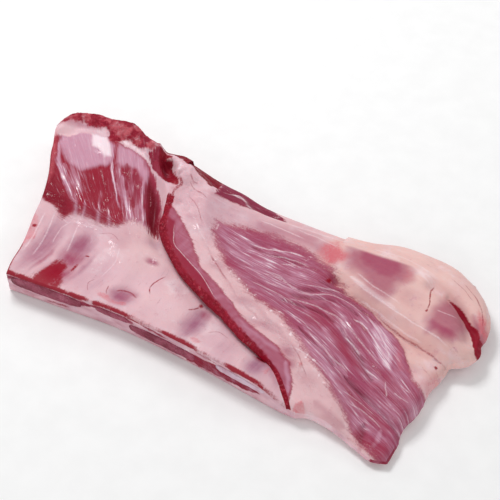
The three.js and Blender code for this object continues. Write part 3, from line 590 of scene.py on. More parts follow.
# Creases on the flank: strength, half width and line. The relief cuts grooves along them, and the finish darkens them
# as painted shade.
SHADED_CREASE_LINES = [
    (0.60, 0.9, [(66, 20.5), (76, 20.5), (84, 18.5), (95, 15), (108, 9), (120, 6), (132, 4), (142, 1)]),
    (0.45, 0.8, [(44, 8), (52, 10), (60, 15), (70, 16), (80, 14.5), (90, 10)]),
    (0.45, 0.8, [(43, 2), (52, 4), (62, 8.5), (70, 10.5), (78, 9.5), (86, 6)]),
    (0.70, 1.0, [(80, -6), (90, -12), (100, -20), (107, -26), (113, -31)]),
    (0.55, 0.9, [(98, -37.5), (106, -40.5), (116, -43.5), (126, -47), (134, -50), (142, -54)]),
    (0.35, 0.6, [(2, 24.5), (14, 24), (26, 26), (40, 25.5)]),
    (0.40, 0.7, [(60, -22), (70, -27), (80, -30), (90, -35)]),
    (0.30, 0.6, [(40, -6), (54, -3), (66, -2), (76, -4)]),
    (0.30, 0.6, [(70, 22), (62, 20), (52, 19)]),
    (0.60, 1.6, [(121, -58), (122.5, -65), (125, -72)]),
]


def stirred(x, y, reach, cell, seed):
    """The same places, moved by up to reach mm, so that a zone's border wanders."""
    return x + reach * fractal(x / cell, y / cell, seed), y + reach * fractal(x / cell, y / cell, seed + 9)


def painted(x, y, lines):
    """The strongest of the painted lines at each place."""
    return np.max([strength * stroke(x, y, line, half_width) for strength, half_width, line in lines], axis=0)


def patched(x, y, zones):
    """The strongest of the zones at each place."""
    return np.max([strength * zone(x, y, corners, soft) for strength, soft, corners in zones], axis=0)


def blend_in(under, over, share):
    """Lays one set of masks over another, by a share from 0 to 1."""
    return {name: mix(under[name], over[name], share) for name in under}


# Tissue masks. The white mask also carries a painted highlight; the deep, grey and rose masks also carry painted shade
# in creases, the gutter and beside the lip.
MASKS = ("flesh", "violet", "deep", "crumb", "calm", "silver", "white", "peach", "bruise_and_shade", "blush_and_shade", "blood",
         "coral")


def bare(x):
    return {name: np.zeros(x.shape) for name in MASKS}


def stained(x, y, stains, masks):
    """Soft stains of grey and rose, laid into the masks."""
    for middle_x, middle_y, half_x, half_y, grey, rose in stains:
        spot = mound(x, y, middle_x, middle_y, half_x, half_y)
        masks["bruise_and_shade"] = np.maximum(masks["bruise_and_shade"], grey * spot)
        masks["blush_and_shade"] = np.maximum(masks["blush_and_shade"], rose * spot)


def rib_tissue(x, y):
    """The masks over the rib sheet."""
    masks = bare(x)
    wx, wy = stirred(x, y, 1.2, 7, 3)
    band = zone(wx, wy, RED_BAND, mix(2.2, 5.5, smooth(20, 4, y) * smooth(-130, -112, x)))
    rim = zone(*stirred(x, y, 2.4, 6, 21), FAR_RIM, 3.0)
    clotted = fractal(x / 4.5, y / 4.5, 23)
    gutter = zone(wx, wy, GUTTER, 2.6)
    tongues = painted(wx, wy, RED_TONGUES)
    rim_line = stroke(wx, wy, RIM_LINE, 3)
    pit, pit_shade = pit_floor(x, y)
    masks["flesh"] = np.max([band, rim * np.clip(0.9 + 0.5 * clotted, 0, 1), pit], axis=0)
    # Darker muscle in the lower corner and on the tongues; in the gutter beside the lip, a hollow, it is painted shade
    # as well as darker muscle.
    masks["deep"] = np.max([0.45 * zone(wx, wy, DEEP_CORNER, 5), gutter, 0.25 * tongues], axis=0) * band
    dark_rim = 0.08 + 0.10 * smooth(-136, -150, x) + 0.35 * fractal(x / 5, y / 5, 25)
    masks["deep"] = np.max([masks["deep"], rim * dark_rim, 0.35 * pit, 0.6 * pit_shade], axis=0)
    masks["crumb"] = rim * 0.8
    masks["calm"] = 0.7 * patched(wx, wy, SILVER_ZONES[:2])
    silver = np.maximum(patched(wx, wy, SILVER_ZONES), painted(wx, wy, SILVER_STREAKS))
    silver = 0.03 + 0.18 * smooth(14, -2, y) * smooth(-124, -104, x) + silver * (1 - 0.7 * tongues)
    masks["silver"] = silver * (1 - 0.85 * gutter) * (1 - rim) * smooth(-0.1, 0.5, band) * (1 - pit)
    # White: the pale fat strip and film along the far rim, and a painted highlight on the silverskin patch.
    masks["white"] = np.max([0.9 * zone(wx, wy, SILVER_PAINTED_HIGHLIGHT, 2.6), 0.4 * stroke(wx, wy, BRIGHT_STRIP, 4) * (1 - rim),
                             0.65 * stroke(wx, wy, [(-112, 54), (-100, 53.5), (-88, 50)], 3.2),
                             0.35 * stroke(wx, wy, FILM_STRIP, 2.2)], axis=0)
    masks["violet"] = 0.08 + 0.3 * smooth(-110, -84, x) * smooth(6, 26, y)
    stained(wx, wy, RIB_STAINS, masks)
    clean = mound(x, y, -30, -42, 26, 14)
    masks["bruise_and_shade"] = np.max([masks["bruise_and_shade"], 0.35 * stroke(wx, wy, FILM_STRIP, 6),
                              (0.14 + 0.16 * fractal(x / 16, y / 22, 61)) * (1 - 0.8 * clean)], axis=0)
    masks["blush_and_shade"] = np.max([masks["blush_and_shade"], (0.12 + 0.16 * fractal(x / 14, y / 14, 63)) * (1 - 0.8 * clean),
                             0.5 * rim_line], axis=0)
    from_sawn = beside(x, y, plan(SAWN_EDGE))[0]
    seam = hill((from_sawn - 0.5) / 1.8) * np.interp(x, *zip(*SEAM)) * (1.0 + 0.5 * fractal(x / 4, y / 2, 65))
    from_left, share, _ = beside(x, y, plan(LEFT_EDGE))
    left_line = hill(from_left / 1.3) * smooth(0.26, 0.2, share)
    stain = zone(wx, wy, BLOOD_STAIN, 3.5) * (0.85 + 0.8 * fractal(x / 3.4, y / 11, 67))
    # Beside the lip on the rib side: grey is painted shade under the lip's overhang, rose a real stain along it.
    lip_shade_and_stain = hill((from_lip(x, y) - 1) / 3.5) * smooth(40, 10, y) * smooth(76, 60, x)
    masks["bruise_and_shade"] = np.maximum(masks["bruise_and_shade"], 0.35 * lip_shade_and_stain)
    masks["blush_and_shade"] = np.maximum(masks["blush_and_shade"], 0.45 * lip_shade_and_stain)
    masks["blood"] = np.max([seam, left_line, 0.9 * stain, blood_spots(x, y)], axis=0)
    pink_edge = 0.5 * stroke(x, y, [(-160, 44), (-152, 32), (-146, 20), (-140, 6)], 2.5)
    masks["coral"] = np.max([0.5 * loose_fat(x, y), pink_edge, 0.6 * rim * smooth(-0.3, 0.4, -clotted)], axis=0)
    masks["peach"] = 0.15 + 0.25 * smooth(-90, -60, x) * smooth(-40, -10, y) + 0.2 * fractal(x / 22, y / 22, 69)
    return masks


def pit_floor(x, y):
    """The red floor of the pit beside the knob, and its darkest part."""
    wx, wy = stirred(x, y, 1.2, 4, 108)
    return zone(wx, wy, PIT_FLOOR, 1.4), zone(wx, wy, PIT_SHADE, 2.5)


def loose_fat(x, y):
    wx, wy = stirred(x, y, 1.6, 3.2, 71)
    return np.max([zone(wx, wy, scrap, 0.9) for scrap in LOOSE_FAT], axis=0)


def blood_spots(x, y):
    wx, wy = stirred(x, y, 0.9, 3, 81)
    return np.max([mound(wx, wy, *spot) for spot in BLOOD_SPOTS], axis=0)


def traced(x, y, lines, reach=1.3):
    """For lines finer than the mesh: the signed distance to the nearest one in half widths, which the finish
    cuts sharply, and the line's strength, which fades out by reach mm away."""
    x, y = stirred(x, y, 0.5, 5, 83)
    nearest, offset, strength = np.full(x.shape, 1e9), np.zeros(x.shape), np.zeros(x.shape)
    for value, half_width, line in lines:
        distance, share, side = beside(x, y, line)
        nearer = distance < nearest
        nearest = np.where(nearer, distance, nearest)
        offset = np.where(nearer, side * distance / half_width, offset)
        ends = smooth(0, 0.15, share) * smooth(1, 0.85, share)
        strength = np.where(nearer, value * ends * smooth(reach, reach / 2, distance), strength)
    return np.stack([offset, strength, 0 * x], -1)


def cut_depth(x, y):
    """How dark the crumbs of a freshly cut face are: it changes from crumb to crumb."""
    return np.clip(0.30 + 0.7 * fractal(x / 2.4, y / 2.4, 109), 0, 1)


def flank_tissue(x, y):
    """The masks over the skirt, the flank muscle and the tucked end."""
    masks = bare(x)
    away, lip_share, _ = beside(x, y, plan(LIP), 60)
    along_fibre, across_fibre = flank_grain(x, y)
    wx, wy = stirred(x, y, 1.4, 8, 103)
    soft = mix(6.0, 8.0, smooth(-6, 8, y) * smooth(84, 60, x))
    fibres = zone(wx, wy, FIBRES, mix(soft, 2.6, smooth(80, 92, x) * smooth(-30, -10, y)))
    ridge = zone(*stirred(x, y, 1.2, 5, 105), FAT_RIDGE, 3.2)
    crescent = zone(*stirred(x, y, 0.8, 6, 106), SKIRT_CRESCENT, 1.4)
    band_width = np.interp(lip_share, *zip(*LIP_BAND))
    cut = smooth(1.0, -1.0, away - band_width + 0.9 * fractal(x / 2, y / 2, 107))
    skirt = zone(wx, wy, SKIRT, 2.4) * (1 - ridge)
    far_muscle = zone(*stirred(x, y, 0.9, 4, 110), FAR_MUSCLE, 2.0)
    pit, pit_shade = pit_floor(x, y)
    gap = zone(*stirred(x, y, 1.2, 4, 109), KNOB_GAP, 1.4)
    wedge = np.maximum(zone(*stirred(x, y, 0.4, 5, 129), TUCK_WEDGE, 0.9), stroke(x, y, DARK_GAP, 1.8))
    masks["flesh"] = np.max([fibres, skirt, cut, far_muscle, pit, gap, wedge], axis=0)
    veil = 0.48 + 0.42 * fractal(along_fibre / 26, across_fibre / 8, 117)
    film = np.max([painted(wx, wy, MUSCLE_FILMS), veil, patched(wx, wy, MUSCLE_PATCHES)], axis=0)
    film = film * (1 - 0.5 * patched(wx, wy, RED_MUSCLES))
    fan = np.abs(noise(beside(x, y, [(-60, 26), (-20, 20), (60, -30)], 12)[1] * 40, 0 * x, 119))
    skirt_film = np.maximum(painted(wx, wy, SKIRT_FILMS), 0.40 + 0.15 * fan)
    masks["silver"] = np.maximum(film * fibres, skirt_film * skirt * (1 - 0.75 * crescent)) * (1 - cut)
    flecks = smooth(0.1, 0.6, fractal(x / 2.0, y / 2.0, 124))
    torn_edge = 4.0 * fibres * (1 - fibres) * flecks * smooth(-30, -10, x) * smooth(110, 80, x) * smooth(4, -6, y)
    masks["white"] = np.max([painted(*stirred(x, y, 0.8, 6, 122), FAN_STRANDS), 0.62 * stroke(wx, wy, KNOB_ROLL, 2.8),
                             0.38 * mound(x, y, -61, 49, 10, 9), 0.62 * mound(x, y, 110, 51, 16, 8),
                             0.3 * mound(x, y, 95, -60, 12, 5),
                             0.5 * stroke(x, y, MEMBRANE_EDGE[2:], 1.2), torn_edge], axis=0)
    # Painted shade along the creases.
    dark = painted(*stirred(x, y, 0.7, 6, 123), SHADED_CREASE_LINES)
    masks["calm"] = np.max([0.85 * skirt, 2.4 * fibres * (1 - fibres), 0.45 * patched(wx, wy, RED_MUSCLES) * fibres, 0.5 * wedge], axis=0)
    # Deep red of cut crumbs, pit, gap and far muscle; along the creases it is painted shade.
    masks["deep"] = np.max([cut_depth(x, y) * cut, 0.10 * crescent, 0.3 * pit, 0.6 * pit_shade, 0.62 * gap,
                            0.52 * far_muscle, dark * fibres, 0.2 * wedge], axis=0)
    torn_fat = zone(*stirred(x, y, 2.0, 7, 111), TORN_FAT, 3.0)
    masks["crumb"] = np.maximum(cut, (0.5 + 0.4 * fractal(x / 9, y / 9, 112)) * torn_fat * (1 - pit))
    masks["violet"] = (1.0 - 0.5 * patched(wx, wy, RED_MUSCLES)) * fibres
    masks["violet"] = np.max([masks["violet"], (0.5 - 0.2 * crescent) * skirt, 0.9 * far_muscle], axis=0)
    masks["violet"] = masks["violet"] * (1 - np.maximum(cut, wedge))
    masks["peach"] = np.clip(1.0 * smooth(30, 66, x) * smooth(-24, 0, y) + 0.35 * smooth(-70, 0, x), 0, 1)
    stained(wx, wy, FLANK_STAINS, masks)
    bruises = patched(*stirred(x, y, 1.6, 6, 131), LOBE_BRUISES) * smooth(54.5, 51.5, y)
    masks["calm"] = np.max([masks["calm"], 0.85 * smooth(0, 0.4, bruises), 0.6 * zone(wx, wy, MEMBRANE, 5)], axis=0)
    # Rose stains, bruises, grooves and a rose cast, and painted shade along the creases.
    masks["blush_and_shade"] = np.max([masks["blush_and_shade"], bruises, painted(wx, wy, RIDGE_GROOVES), dark * 0.8,
                             0.14 + 0.12 * fractal(x / 12, y / 9, 133)], axis=0)
    masks["bruise_and_shade"] = np.max([masks["bruise_and_shade"], 0.32 * zone(wx, wy, MEMBRANE, 5), 0.3 * bruises], axis=0)
    masks["coral"] = np.maximum(patched(*stirred(x, y, 3, 7, 135), CORAL_ZONES), 0.5 * loose_fat(x, y))
    masks["blood"] = blood_spots(x, y)
    return masks


def sawn_tissue(x, z):
    """The masks down the sawn near edge, over x and the height z: a red seam on top, a maroon band with the bones
    in it, fat below them, red muscle under the cartilage, and bare flank muscle past the lip."""
    masks = bare(x)
    wx, wz = stirred(x, z, 1.2, 4, 141)
    seam = painted(wx, wz, SAWN_SEAMS) * (0.9 + 0.4 * fractal(x / 5, z / 2, 143))
    muscle = zone(wx, wz, [(6, 2), (6, 12), (30, 13), (46, 11.5), (60, 8.5), (46, 4)], 1.6)
    band = painted(wx, wz, SAWN_BANDS)
    near_flank = zone(wx, wz, [(112, 24), (118, 12), (126, 8), (134, 8), (130, -4), (160, -4), (160, 26)], 1.6)
    masks["flesh"] = np.max([muscle, band, near_flank], axis=0)
    masks["blood"] = seam
    masks["deep"] = np.max([0.35 * muscle, 0.45 * band, 0.35 * near_flank], axis=0)
    masks["violet"] = np.max([0.4 * near_flank, 0.3 * muscle, 0.6 * band], axis=0)
    masks["silver"] = (0.3 + 0.4 * fractal(x / 4, z / 2.5, 147)) * masks["flesh"]
    masks["calm"] = 0.85 + 0 * x
    masks["crumb"] = 0.5 * masks["flesh"]
    masks["bruise_and_shade"] = 0.12 + 0.3 * fractal(x / 8, z / 4, 149)
    masks["blush_and_shade"] = 0.16 + 0.4 * fractal(x / 7, z / 3, 151) + 0.5 * painted(wx, wz, SAWN_BLUSHES)
    masks["coral"] = 0.25 * smooth(6, 2, z)
    return masks


def outer_tissue(x, y):
    """The masks over the outside, which lies down: fat under a thin sheet of muscle, pink and streaky."""
    masks = bare(x)
    streaky = ridges(x / 40, y / 5, 161)
    masks["peach"] = 0.5 + 0.2 * fractal(x / 30, y / 30, 163)
    masks["blush_and_shade"] = 0.2 + 0.5 * smooth(0, 0.8, fractal(x / 34, y / 16, 165))
    masks["white"] = 0.35 * smooth(0.5, 1, streaky)
    masks["flesh"] = 0.5 * smooth(0.15, 0.6, fractal(x / 40, y / 14, 167))
    masks["violet"] = 0.5 + 0 * x
    return masks


# ------------------------------------------------------------------ fine relief, mm
def rib_relief(x, y, masks):
    along_fibre, across_fibre = rib_grain(x, y)
    fibres = 0.3 * noise(along_fibre / 26, across_fibre / 2.8, 201) * masks["flesh"] * (1 - 0.5 * masks["deep"])
    sheet = 0.45 * fractal(x / 17, y / 17, 205) + 0.14 * fractal(x / 5, y / 5, 207)
    flaps = 0.3 * smooth(0.2, 0.8, masks["silver"])
    scraps = masks["coral"] * (0.5 + 0.9 * fractal(x / 2.2, y / 2.2, 209)) * smooth(20, 0, y)
    lumps = smooth(48, 56, y) * (1.3 * fractal(x / 6, y / 6, 211) + 0.9 * fractal(x / 2.5, y / 2.5, 213))
    dips = 1.6 * zone(x, y, GUTTER, 3) + 0.5 * masks["blush_and_shade"] * smooth(-20, -30, y) + 2.2 * zone(x, y, PIT_FLOOR, 2.2)
    return fibres + sheet + flaps + scraps + lumps - dips


def flank_relief(x, y, masks):
    along_fibre, across_fibre = flank_grain(x, y)
    red = masks["flesh"] * (1 - masks["deep"])
    coarse = 0.6 * ridges(along_fibre / 30, across_fibre / 3.8, 221)
    fine = 0.25 * ridges(along_fibre / 18, across_fibre / 2.0, 223)
    swell = 0.5 * fractal(x / 14, y / 9, 225)
    cuts = 1.6 * np.max([stroke(x, y, line, 1.6 * half_width) for _, half_width, line in SHADED_CREASE_LINES], axis=0)
    wedge = 3.0 * zone(x, y, TUCK_WEDGE, 2.6)
    knob = zone(x, y, [(-82, 68), (-66, 68), (-56, 56), (-40, 53), (-36, 40), (-50, 24), (-64, 34)], 4)
    knob = knob * (1.3 * fractal(x / 6, y / 6, 227) + 0.7 * ridges(x / 5, y / 5, 228))
    roll = 4.2 * stroke(x, y, KNOB_ROLL, 3.4)
    pit = 2.2 * zone(x, y, PIT_FLOOR, 2.2) + 1.2 * zone(x, y, PIT_SHADE, 2.5) + 1.5 * zone(x, y, KNOB_GAP, 2)
    scraps = loose_fat(x, y) * (0.9 + 0.8 * fractal(x / 2.2, y / 2.2, 229))
    wrinkles = 0.25 * noise(x / 16, y / 2.4, 231) * masks["peach"]
    lumpy = 0.25 * zone(x, y, FAT_RIDGE, 3) * fractal(x / 4, y / 4, 233)
    strings = 0.5 * painted(x, y, FAN_STRANDS) + 0.6 * stroke(x, y, MEMBRANE_EDGE[2:], 1.5)
    fibrous = smooth(0.2, 0.8, masks["flesh"]) * smooth(24, 40, from_lip(x, y))
    rises = (coarse + fine) * fibrous + swell * (0.5 + 0.5 * red) + knob + roll + scraps + wrinkles + lumpy + strings
    return rises - cuts - wedge - pit


# ------------------------------------------------------------------ grid
def crowded(count, ends=0.45):
    """Shares from 0 to 1 in count steps, closer together towards both ends."""
    share = np.arange(count + 1) / count
    return share - ends * np.sin(2 * np.pi * share) / (2 * np.pi)


def coons(low, high, left, right, s, t):
    """The patch between four rows of points: low and high go with s, left and right with t. Rows of the answer
    go with s and columns with t."""
    s_, t_ = s[:, None, None], t[None, :, None]
    ruled = low[:, None] * (1 - t_) + high[:, None] * t_ + left[None] * (1 - s_) + right[None] * s_
    corners = (low[0] * (1 - s_) * (1 - t_) + low[-1] * s_ * (1 - t_)
               + high[0] * (1 - s_) * t_ + high[-1] * s_ * t_)
    return ruled - corners


def lip_frame(t):
    """Points of the lip, and the way across it towards the skirt, which turns along the edges at both ends."""
    line = plan(LIP)
    way = along(line, np.clip(t + 0.01, 0, 1)) - along(line, np.clip(t - 0.01, 0, 1))
    normal = np.stack([way[:, 1], -way[:, 0]], -1)
    normal /= np.linalg.norm(normal, axis=1, keepdims=True)
    at_end = (smooth(0.07, 0, t) + smooth(0.94, 1, t))[:, None]
    return along(line, t), mix(normal, np.array([1.0, 0.0]), at_end)


def lip_section(share, overhang):
    """One point of the lip's section: how far from its line, and the share of the rise. It runs from the ribs,
    under the overhang and round the cut edge as half a circle, to the top of the skirt."""
    tucked, turned = 0.25, 0.8
    foot = overhang * 0.4
    angle = np.pi * np.clip((share - tucked) / (turned - tucked), 0, 1)
    nose = foot - (overhang + foot) * np.sin(angle)
    before = mix(-LIP_BEFORE, foot, np.clip(share / tucked, 0, 1))
    after = mix(foot, LIP_AFTER, np.clip((share - turned) / (1 - turned), 0, 1))
    away = np.where(share < tucked, before, np.where(share > turned, after, nose))
    return away, (1 - np.cos(angle)) / 2


def plan_grid():
    """The grid in plan: points for the underside, points for the top, the rise (0 ribs, 1 skirt and flank) and
    how squarely a point is on the lip's cut face."""
    t = crowded(ROWS)
    middle, across = lip_frame(t)
    before, after = middle - across * LIP_BEFORE, middle + across * LIP_AFTER
    sawn, far_rib = plan(SAWN_EDGE), plan(FAR_RIB_EDGE)
    near_flank, far_flank = plan(NEAR_FLANK_EDGE), plan(FAR_FLANK_EDGE)
    sawn[-1], far_rib[-1] = before[0], before[-1]
    near_flank[0], far_flank[0] = after[0], after[-1]
    s = crowded(RIB_COLUMNS)
    ribs = coons(along(sawn, s), along(far_rib, s), along(plan(LEFT_EDGE), t), before, s, t)[:-1]
    s = crowded(FLANK_COLUMNS, 0.3)
    flank = coons(along(near_flank, s), along(far_flank, s), after, along(plan(RIGHT_EDGE), t), s, t)
    free = smooth(0.02, 0.24, t) * smooth(0.8, 0.66, t)
    share = np.arange(LIP_COLUMNS)[:, None] / LIP_COLUMNS
    away, rise = lip_section(share, LIP_OVERHANG * free[None])
    flat = mix(-LIP_BEFORE, LIP_AFTER, share)
    away, rise = mix(flat, away, free), mix(smooth(0.2, 0.8, share), rise, free)
    strip_under = middle[None] + across[None] * (flat + 0 * away)[..., None]
    strip_top = middle[None] + across[None] * away[..., None]
    face = 4 * rise * (1 - rise)
    under = np.concatenate([ribs, strip_under, flank])
    top = np.concatenate([ribs, strip_top, flank])
    rises = np.concatenate([np.zeros(ribs.shape[:2]), rise, np.ones(flank.shape[:2])])
    faces = np.concatenate([np.zeros(ribs.shape[:2]), face, np.zeros(flank.shape[:2])])
    return under, top, rises, faces


def outline_loop(columns, rows):
    """Column and row of every grid place on the outline, anticlockwise seen from above."""
    c, r = np.arange(columns), np.arange(rows)
    return (np.concatenate([c, np.full(rows, columns), columns - c, np.zeros(rows, int)]),
            np.concatenate([np.zeros(columns, int), r, np.full(columns, rows), rows - r]))


def distance_to_loop(x, y, loop):
    """Distance in plan to the closed outline, from every fourth of its points."""
    q = loop[::4]
    distance = np.full(x.shape, 1e9)
    for start, end in zip(q, np.roll(q, -1, axis=0)):
        run = end - start
        t = np.clip(((x - start[0]) * run[0] + (y - start[1]) * run[1]) / (run @ run), 0, 1)
        distance = np.minimum(distance, np.hypot(x - start[0] - t * run[0], y - start[1] - t * run[1]))
    return distance


# ------------------------------------------------------------------ meshes
def make_piece(name, points, faces, attributes, replaced, material):
    """Turns points in mm and faces into a smooth closed mesh with point attributes, and tells the frame."""
    mesh = bpy.data.meshes.new(name)
    mesh.from_pydata((np.asarray(points) * MM).tolist(), [], faces)
    for key, values in attributes.items():
        flat = np.asarray(values, np.float32)
        kind = "FLOAT" if flat.ndim == 1 else "FLOAT_VECTOR"
        layer = mesh.attributes.new(key, kind, "POINT")
        layer.data.foreach_set("value" if kind == "FLOAT" else "vector", flat.ravel())
    mesh.shade_smooth()
    mesh.materials.append(material)
    piece = bpy.data.objects.new(name, mesh)
    bpy.context.scene.collection.objects.link(piece)
    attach(piece, "root")
    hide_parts(*replaced)
    return piece


def quads(a, b, c, d):
    return np.stack([a.ravel(), b.ravel(), c.ravel(), d.ravel()], -1).tolist()


def flap_surface():
    """The whole flap as points, faces and point attributes: a top grid, rings down the rim and a coarser
    underside, whose border cells take in the rim's extra points."""
    under, top, rise, face = plan_grid()
    columns, rows = rise.shape[0] - 1, rise.shape[1] - 1
    loop_c, loop_r = outline_loop(columns, rows)
    loop = under[loop_c, loop_r]

    x, y = top[..., 0], top[..., 1]
    rib_masks, flank_masks = rib_tissue(x, y), flank_tissue(x, y)
    masks = blend_in(rib_masks, flank_masks, smooth(0.02, 0.1, rise))
    cut_face = smooth(0.15, 0.6, face) * smooth(33, 27, y)
    cut_masks = {"flesh": 1, "deep": cut_depth(x + y / 3, y), "crumb": 1, "violet": 0, "silver": 0, "white": 0}
    for name, strength in cut_masks.items():
        masks[name] = mix(masks[name], strength, cut_face)
    height = mix(rib_height(x, y), flank_height(x, y), rise)
    relief = mix(rib_relief(x, y, rib_masks), flank_relief(x, y, flank_masks), rise)
    inward = distance_to_loop(x, y, loop)
    square, round_end = squareness(x, y), tuck(x, y)
    floor = underside_height(x, y)
    keep = mix(0.6 + 0.12 * round_end, 0.93, square)
    shoulder = keep + (1 - keep) * quarter_round(inward, mix(7 + 5 * round_end, 2.5, square))
    z = floor + (height - floor + relief * smooth(0, 3, inward)) * shoulder
    z = z + 1.1 * np.square(masks["crumb"]) * fractal(x / 2.0, y / 2.0 + z / 2.0, 301)

    points = [np.stack([x, y, z], -1).reshape(-1, 3)]
    index = np.arange(x.size).reshape(x.shape)
    faces = quads(index[:-1, :-1], index[1:, :-1], index[1:, 1:], index[:-1, 1:])

    # The rim: rings from the top's edge down to the underside's, bulging a little where it is soft.
    place = loop
    upper = np.stack([x, y, z], -1)[loop_c, loop_r]
    px, py = place[:, 0], place[:, 1]
    square, round_end = squareness(px, py), tuck(px, py)
    lower = underside_height(px, py) + mix(2.6 + 3.4 * round_end, 0.8, square)
    way = np.roll(place, -1, axis=0) - np.roll(place, 1, axis=0)
    outward = np.stack([way[:, 1], -way[:, 0]], -1) / np.linalg.norm(way, axis=1, keepdims=True)
    bulge = mix(1.2 + 1.2 * round_end, 0, square)
    down = (np.arange(1, RINGS + 1) / RINGS)[:, None]
    out = bulge * np.sin(np.pi * down)
    ring_x = mix(upper[:, 0], px, down) + outward[:, 0] * out
    ring_y = mix(upper[:, 1], py, down) + outward[:, 1] * out
    ring_z = mix(upper[:, 2], lower, down)
    ragged = 0.35 * fractal(np.cumsum(np.linalg.norm(way, axis=1) / 2)[None] / 3, ring_z / 2, 311)
    ragged = ragged * np.sin(np.pi * down)
    ring_x, ring_y = ring_x + outward[:, 0] * ragged, ring_y + outward[:, 1] * ragged
    rim_masks = rim_tissue(ring_x, ring_y, ring_z, down + 0 * ring_x, {k: v[loop_c, loop_r] for k, v in masks.items()})
    points.append(np.stack([ring_x, ring_y, ring_z], -1).reshape(-1, 3))
    rings = np.vstack([index[loop_c, loop_r], x.size + np.arange(ring_x.size).reshape(ring_x.shape)])
    after = np.roll(rings, -1, axis=1)
    faces += quads(rings[:-1], rings[1:], after[1:], after[:-1])

    # The underside.
    coarse_c, coarse_r = np.arange(0, columns + 1, UNDER_STEP), np.arange(0, rows + 1, UNDER_STEP)
    inner = under[np.ix_(coarse_c[1:-1], coarse_r[1:-1])]
    ux, uy = inner[..., 0], inner[..., 1]
    square, round_end = squareness(ux, uy), tuck(ux, uy)
    inward = distance_to_loop(ux, uy, loop)
    lift = mix(2.6 + 3.4 * round_end, 0.8, square) * (1 - quarter_round(inward, mix(6 + 5 * round_end, 2, square)))
    uz = underside_height(ux, uy) + lift
    start = x.size + ring_x.size
    points.append(np.stack([ux, uy, uz], -1).reshape(-1, 3))
    lowest = np.full((columns + 1, rows + 1), -1)
    lowest[loop_c, loop_r] = rings[-1]
    lowest[np.ix_(coarse_c[1:-1], coarse_r[1:-1])] = start + np.arange(ux.size).reshape(ux.shape)
    faces += underside_faces(lowest, columns, rows)
    under_masks = outer_tissue(ux, uy)

    grains = [np.stack(flank_or_rib_grain(px_, py_, rise_), -1) for px_, py_, rise_ in (
        (x, y, rise), (ring_x, ring_y, np.broadcast_to(rise[loop_c, loop_r], ring_x.shape)), (ux, uy, 1 + 0 * ux))]
    attributes = {name: np.concatenate([masks[name].ravel(), rim_masks[name].ravel(), under_masks[name].ravel()])
                  for name in MASKS}
    grain = np.concatenate([g.reshape(-1, 2) for g in grains]) * MM
    attributes["grain"] = np.column_stack([grain, np.zeros(len(grain))])
    plan_x, plan_y = np.concatenate(points)[:, :2].T
    above = np.arange(len(plan_x)) < x.size
    for name, lines in (("white_trace", WHITE_LINES), ("red_trace", RED_LINES)):
        attributes[name] = traced(plan_x, plan_y, lines) * above[:, None]
    return np.concatenate(points), faces, attributes


def flank_or_rib_grain(x, y, rise):
    (rib_u, rib_v), (flank_u, flank_v) = rib_grain(x, y), flank_grain(x, y)
    on_flank = rise > 0.5
    return np.where(on_flank, flank_u, rib_u), np.where(on_flank, flank_v, rib_v)


def rim_tissue(x, y, z, down, above):
    """The rim takes the masks of the top's edge, and turns into the outside's, or into the sawn face's."""
    above = {name: np.broadcast_to(values, x.shape) for name, values in above.items()}
    soft_edge = blend_in(above, outer_tissue(x, y), smooth(0.35, 0.8, down))
    cut_left = bare(x)
    cut_left["flesh"] = smooth(0.15, -0.15, down - 0.55 - 0.25 * fractal(x / 5, y / 5, 321))
    cut_left["deep"] = 0.5 * cut_left["flesh"]
    cut_left["blush_and_shade"] = 0.3 + 0 * x
    cut_left["coral"] = 0.3 + 0.3 * fractal(x / 4, y / 4, 323)
    sawn = smooth(96, 78, x) * smooth(-50, -60, y)
    left = smooth(-112, -120, x) * (1 - sawn)
    masks = blend_in(soft_edge, cut_left, left)
    near = np.maximum(sawn, smooth(78, 96, x) * smooth(-58, -62, y))
    return blend_in(masks, sawn_tissue(x, z), near)


def underside_faces(lowest, columns, rows):
    """Cells of the coarse grid, turned to face down. A cell on the outline also has the fine points between its
    corners."""
    step = UNDER_STEP
    faces = []
    for c in range(0, columns, step):
        for r in range(0, rows, step):
            left = [(c, r + k) for k in range(step)] if c == 0 else [(c, r)]
            far = [(c + k, r + step) for k in range(step)] if r + step == rows else [(c, r + step)]
            right = [(c + step, r + step - k) for k in range(step)] if c + step == columns else [(c + step, r + step)]
            near = [(c + step - k, r) for k in range(step)] if r == 0 else [(c + step, r)]
            faces.append([int(lowest[place]) for place in left + far + right + near])
    return faces


# ------------------------------------------------------------------ finishes
def tint(red, green, blue):
    """A colour given as 0 to 255 on screen, as the linear colour that a shader takes."""
    return tuple((c / 255 / 12.92 if c <= 10 else ((c / 255 + 0.055) / 1.055)**2.4) for c in (red, green, blue)) + (1,)


class Wire:
    """A node's output that can stand in a sum: arithmetic on it adds Math nodes."""

    def __init__(self, finish, socket):
        self.finish, self.socket = finish, socket

    def _math(self, operation, *values):
        return self.finish.node("ShaderNodeMath", {"operation": operation}, dict(enumerate(values)))

    def __add__(self, other):
        return self._math("ADD", self, other)

    def __sub__(self, other):
        return self._math("SUBTRACT", self, other)

    def __rsub__(self, other):
        return self._math("SUBTRACT", other, self)

    def __mul__(self, other):
        return self._math("MULTIPLY", self, other)

    __radd__, __rmul__ = __add__, __mul__


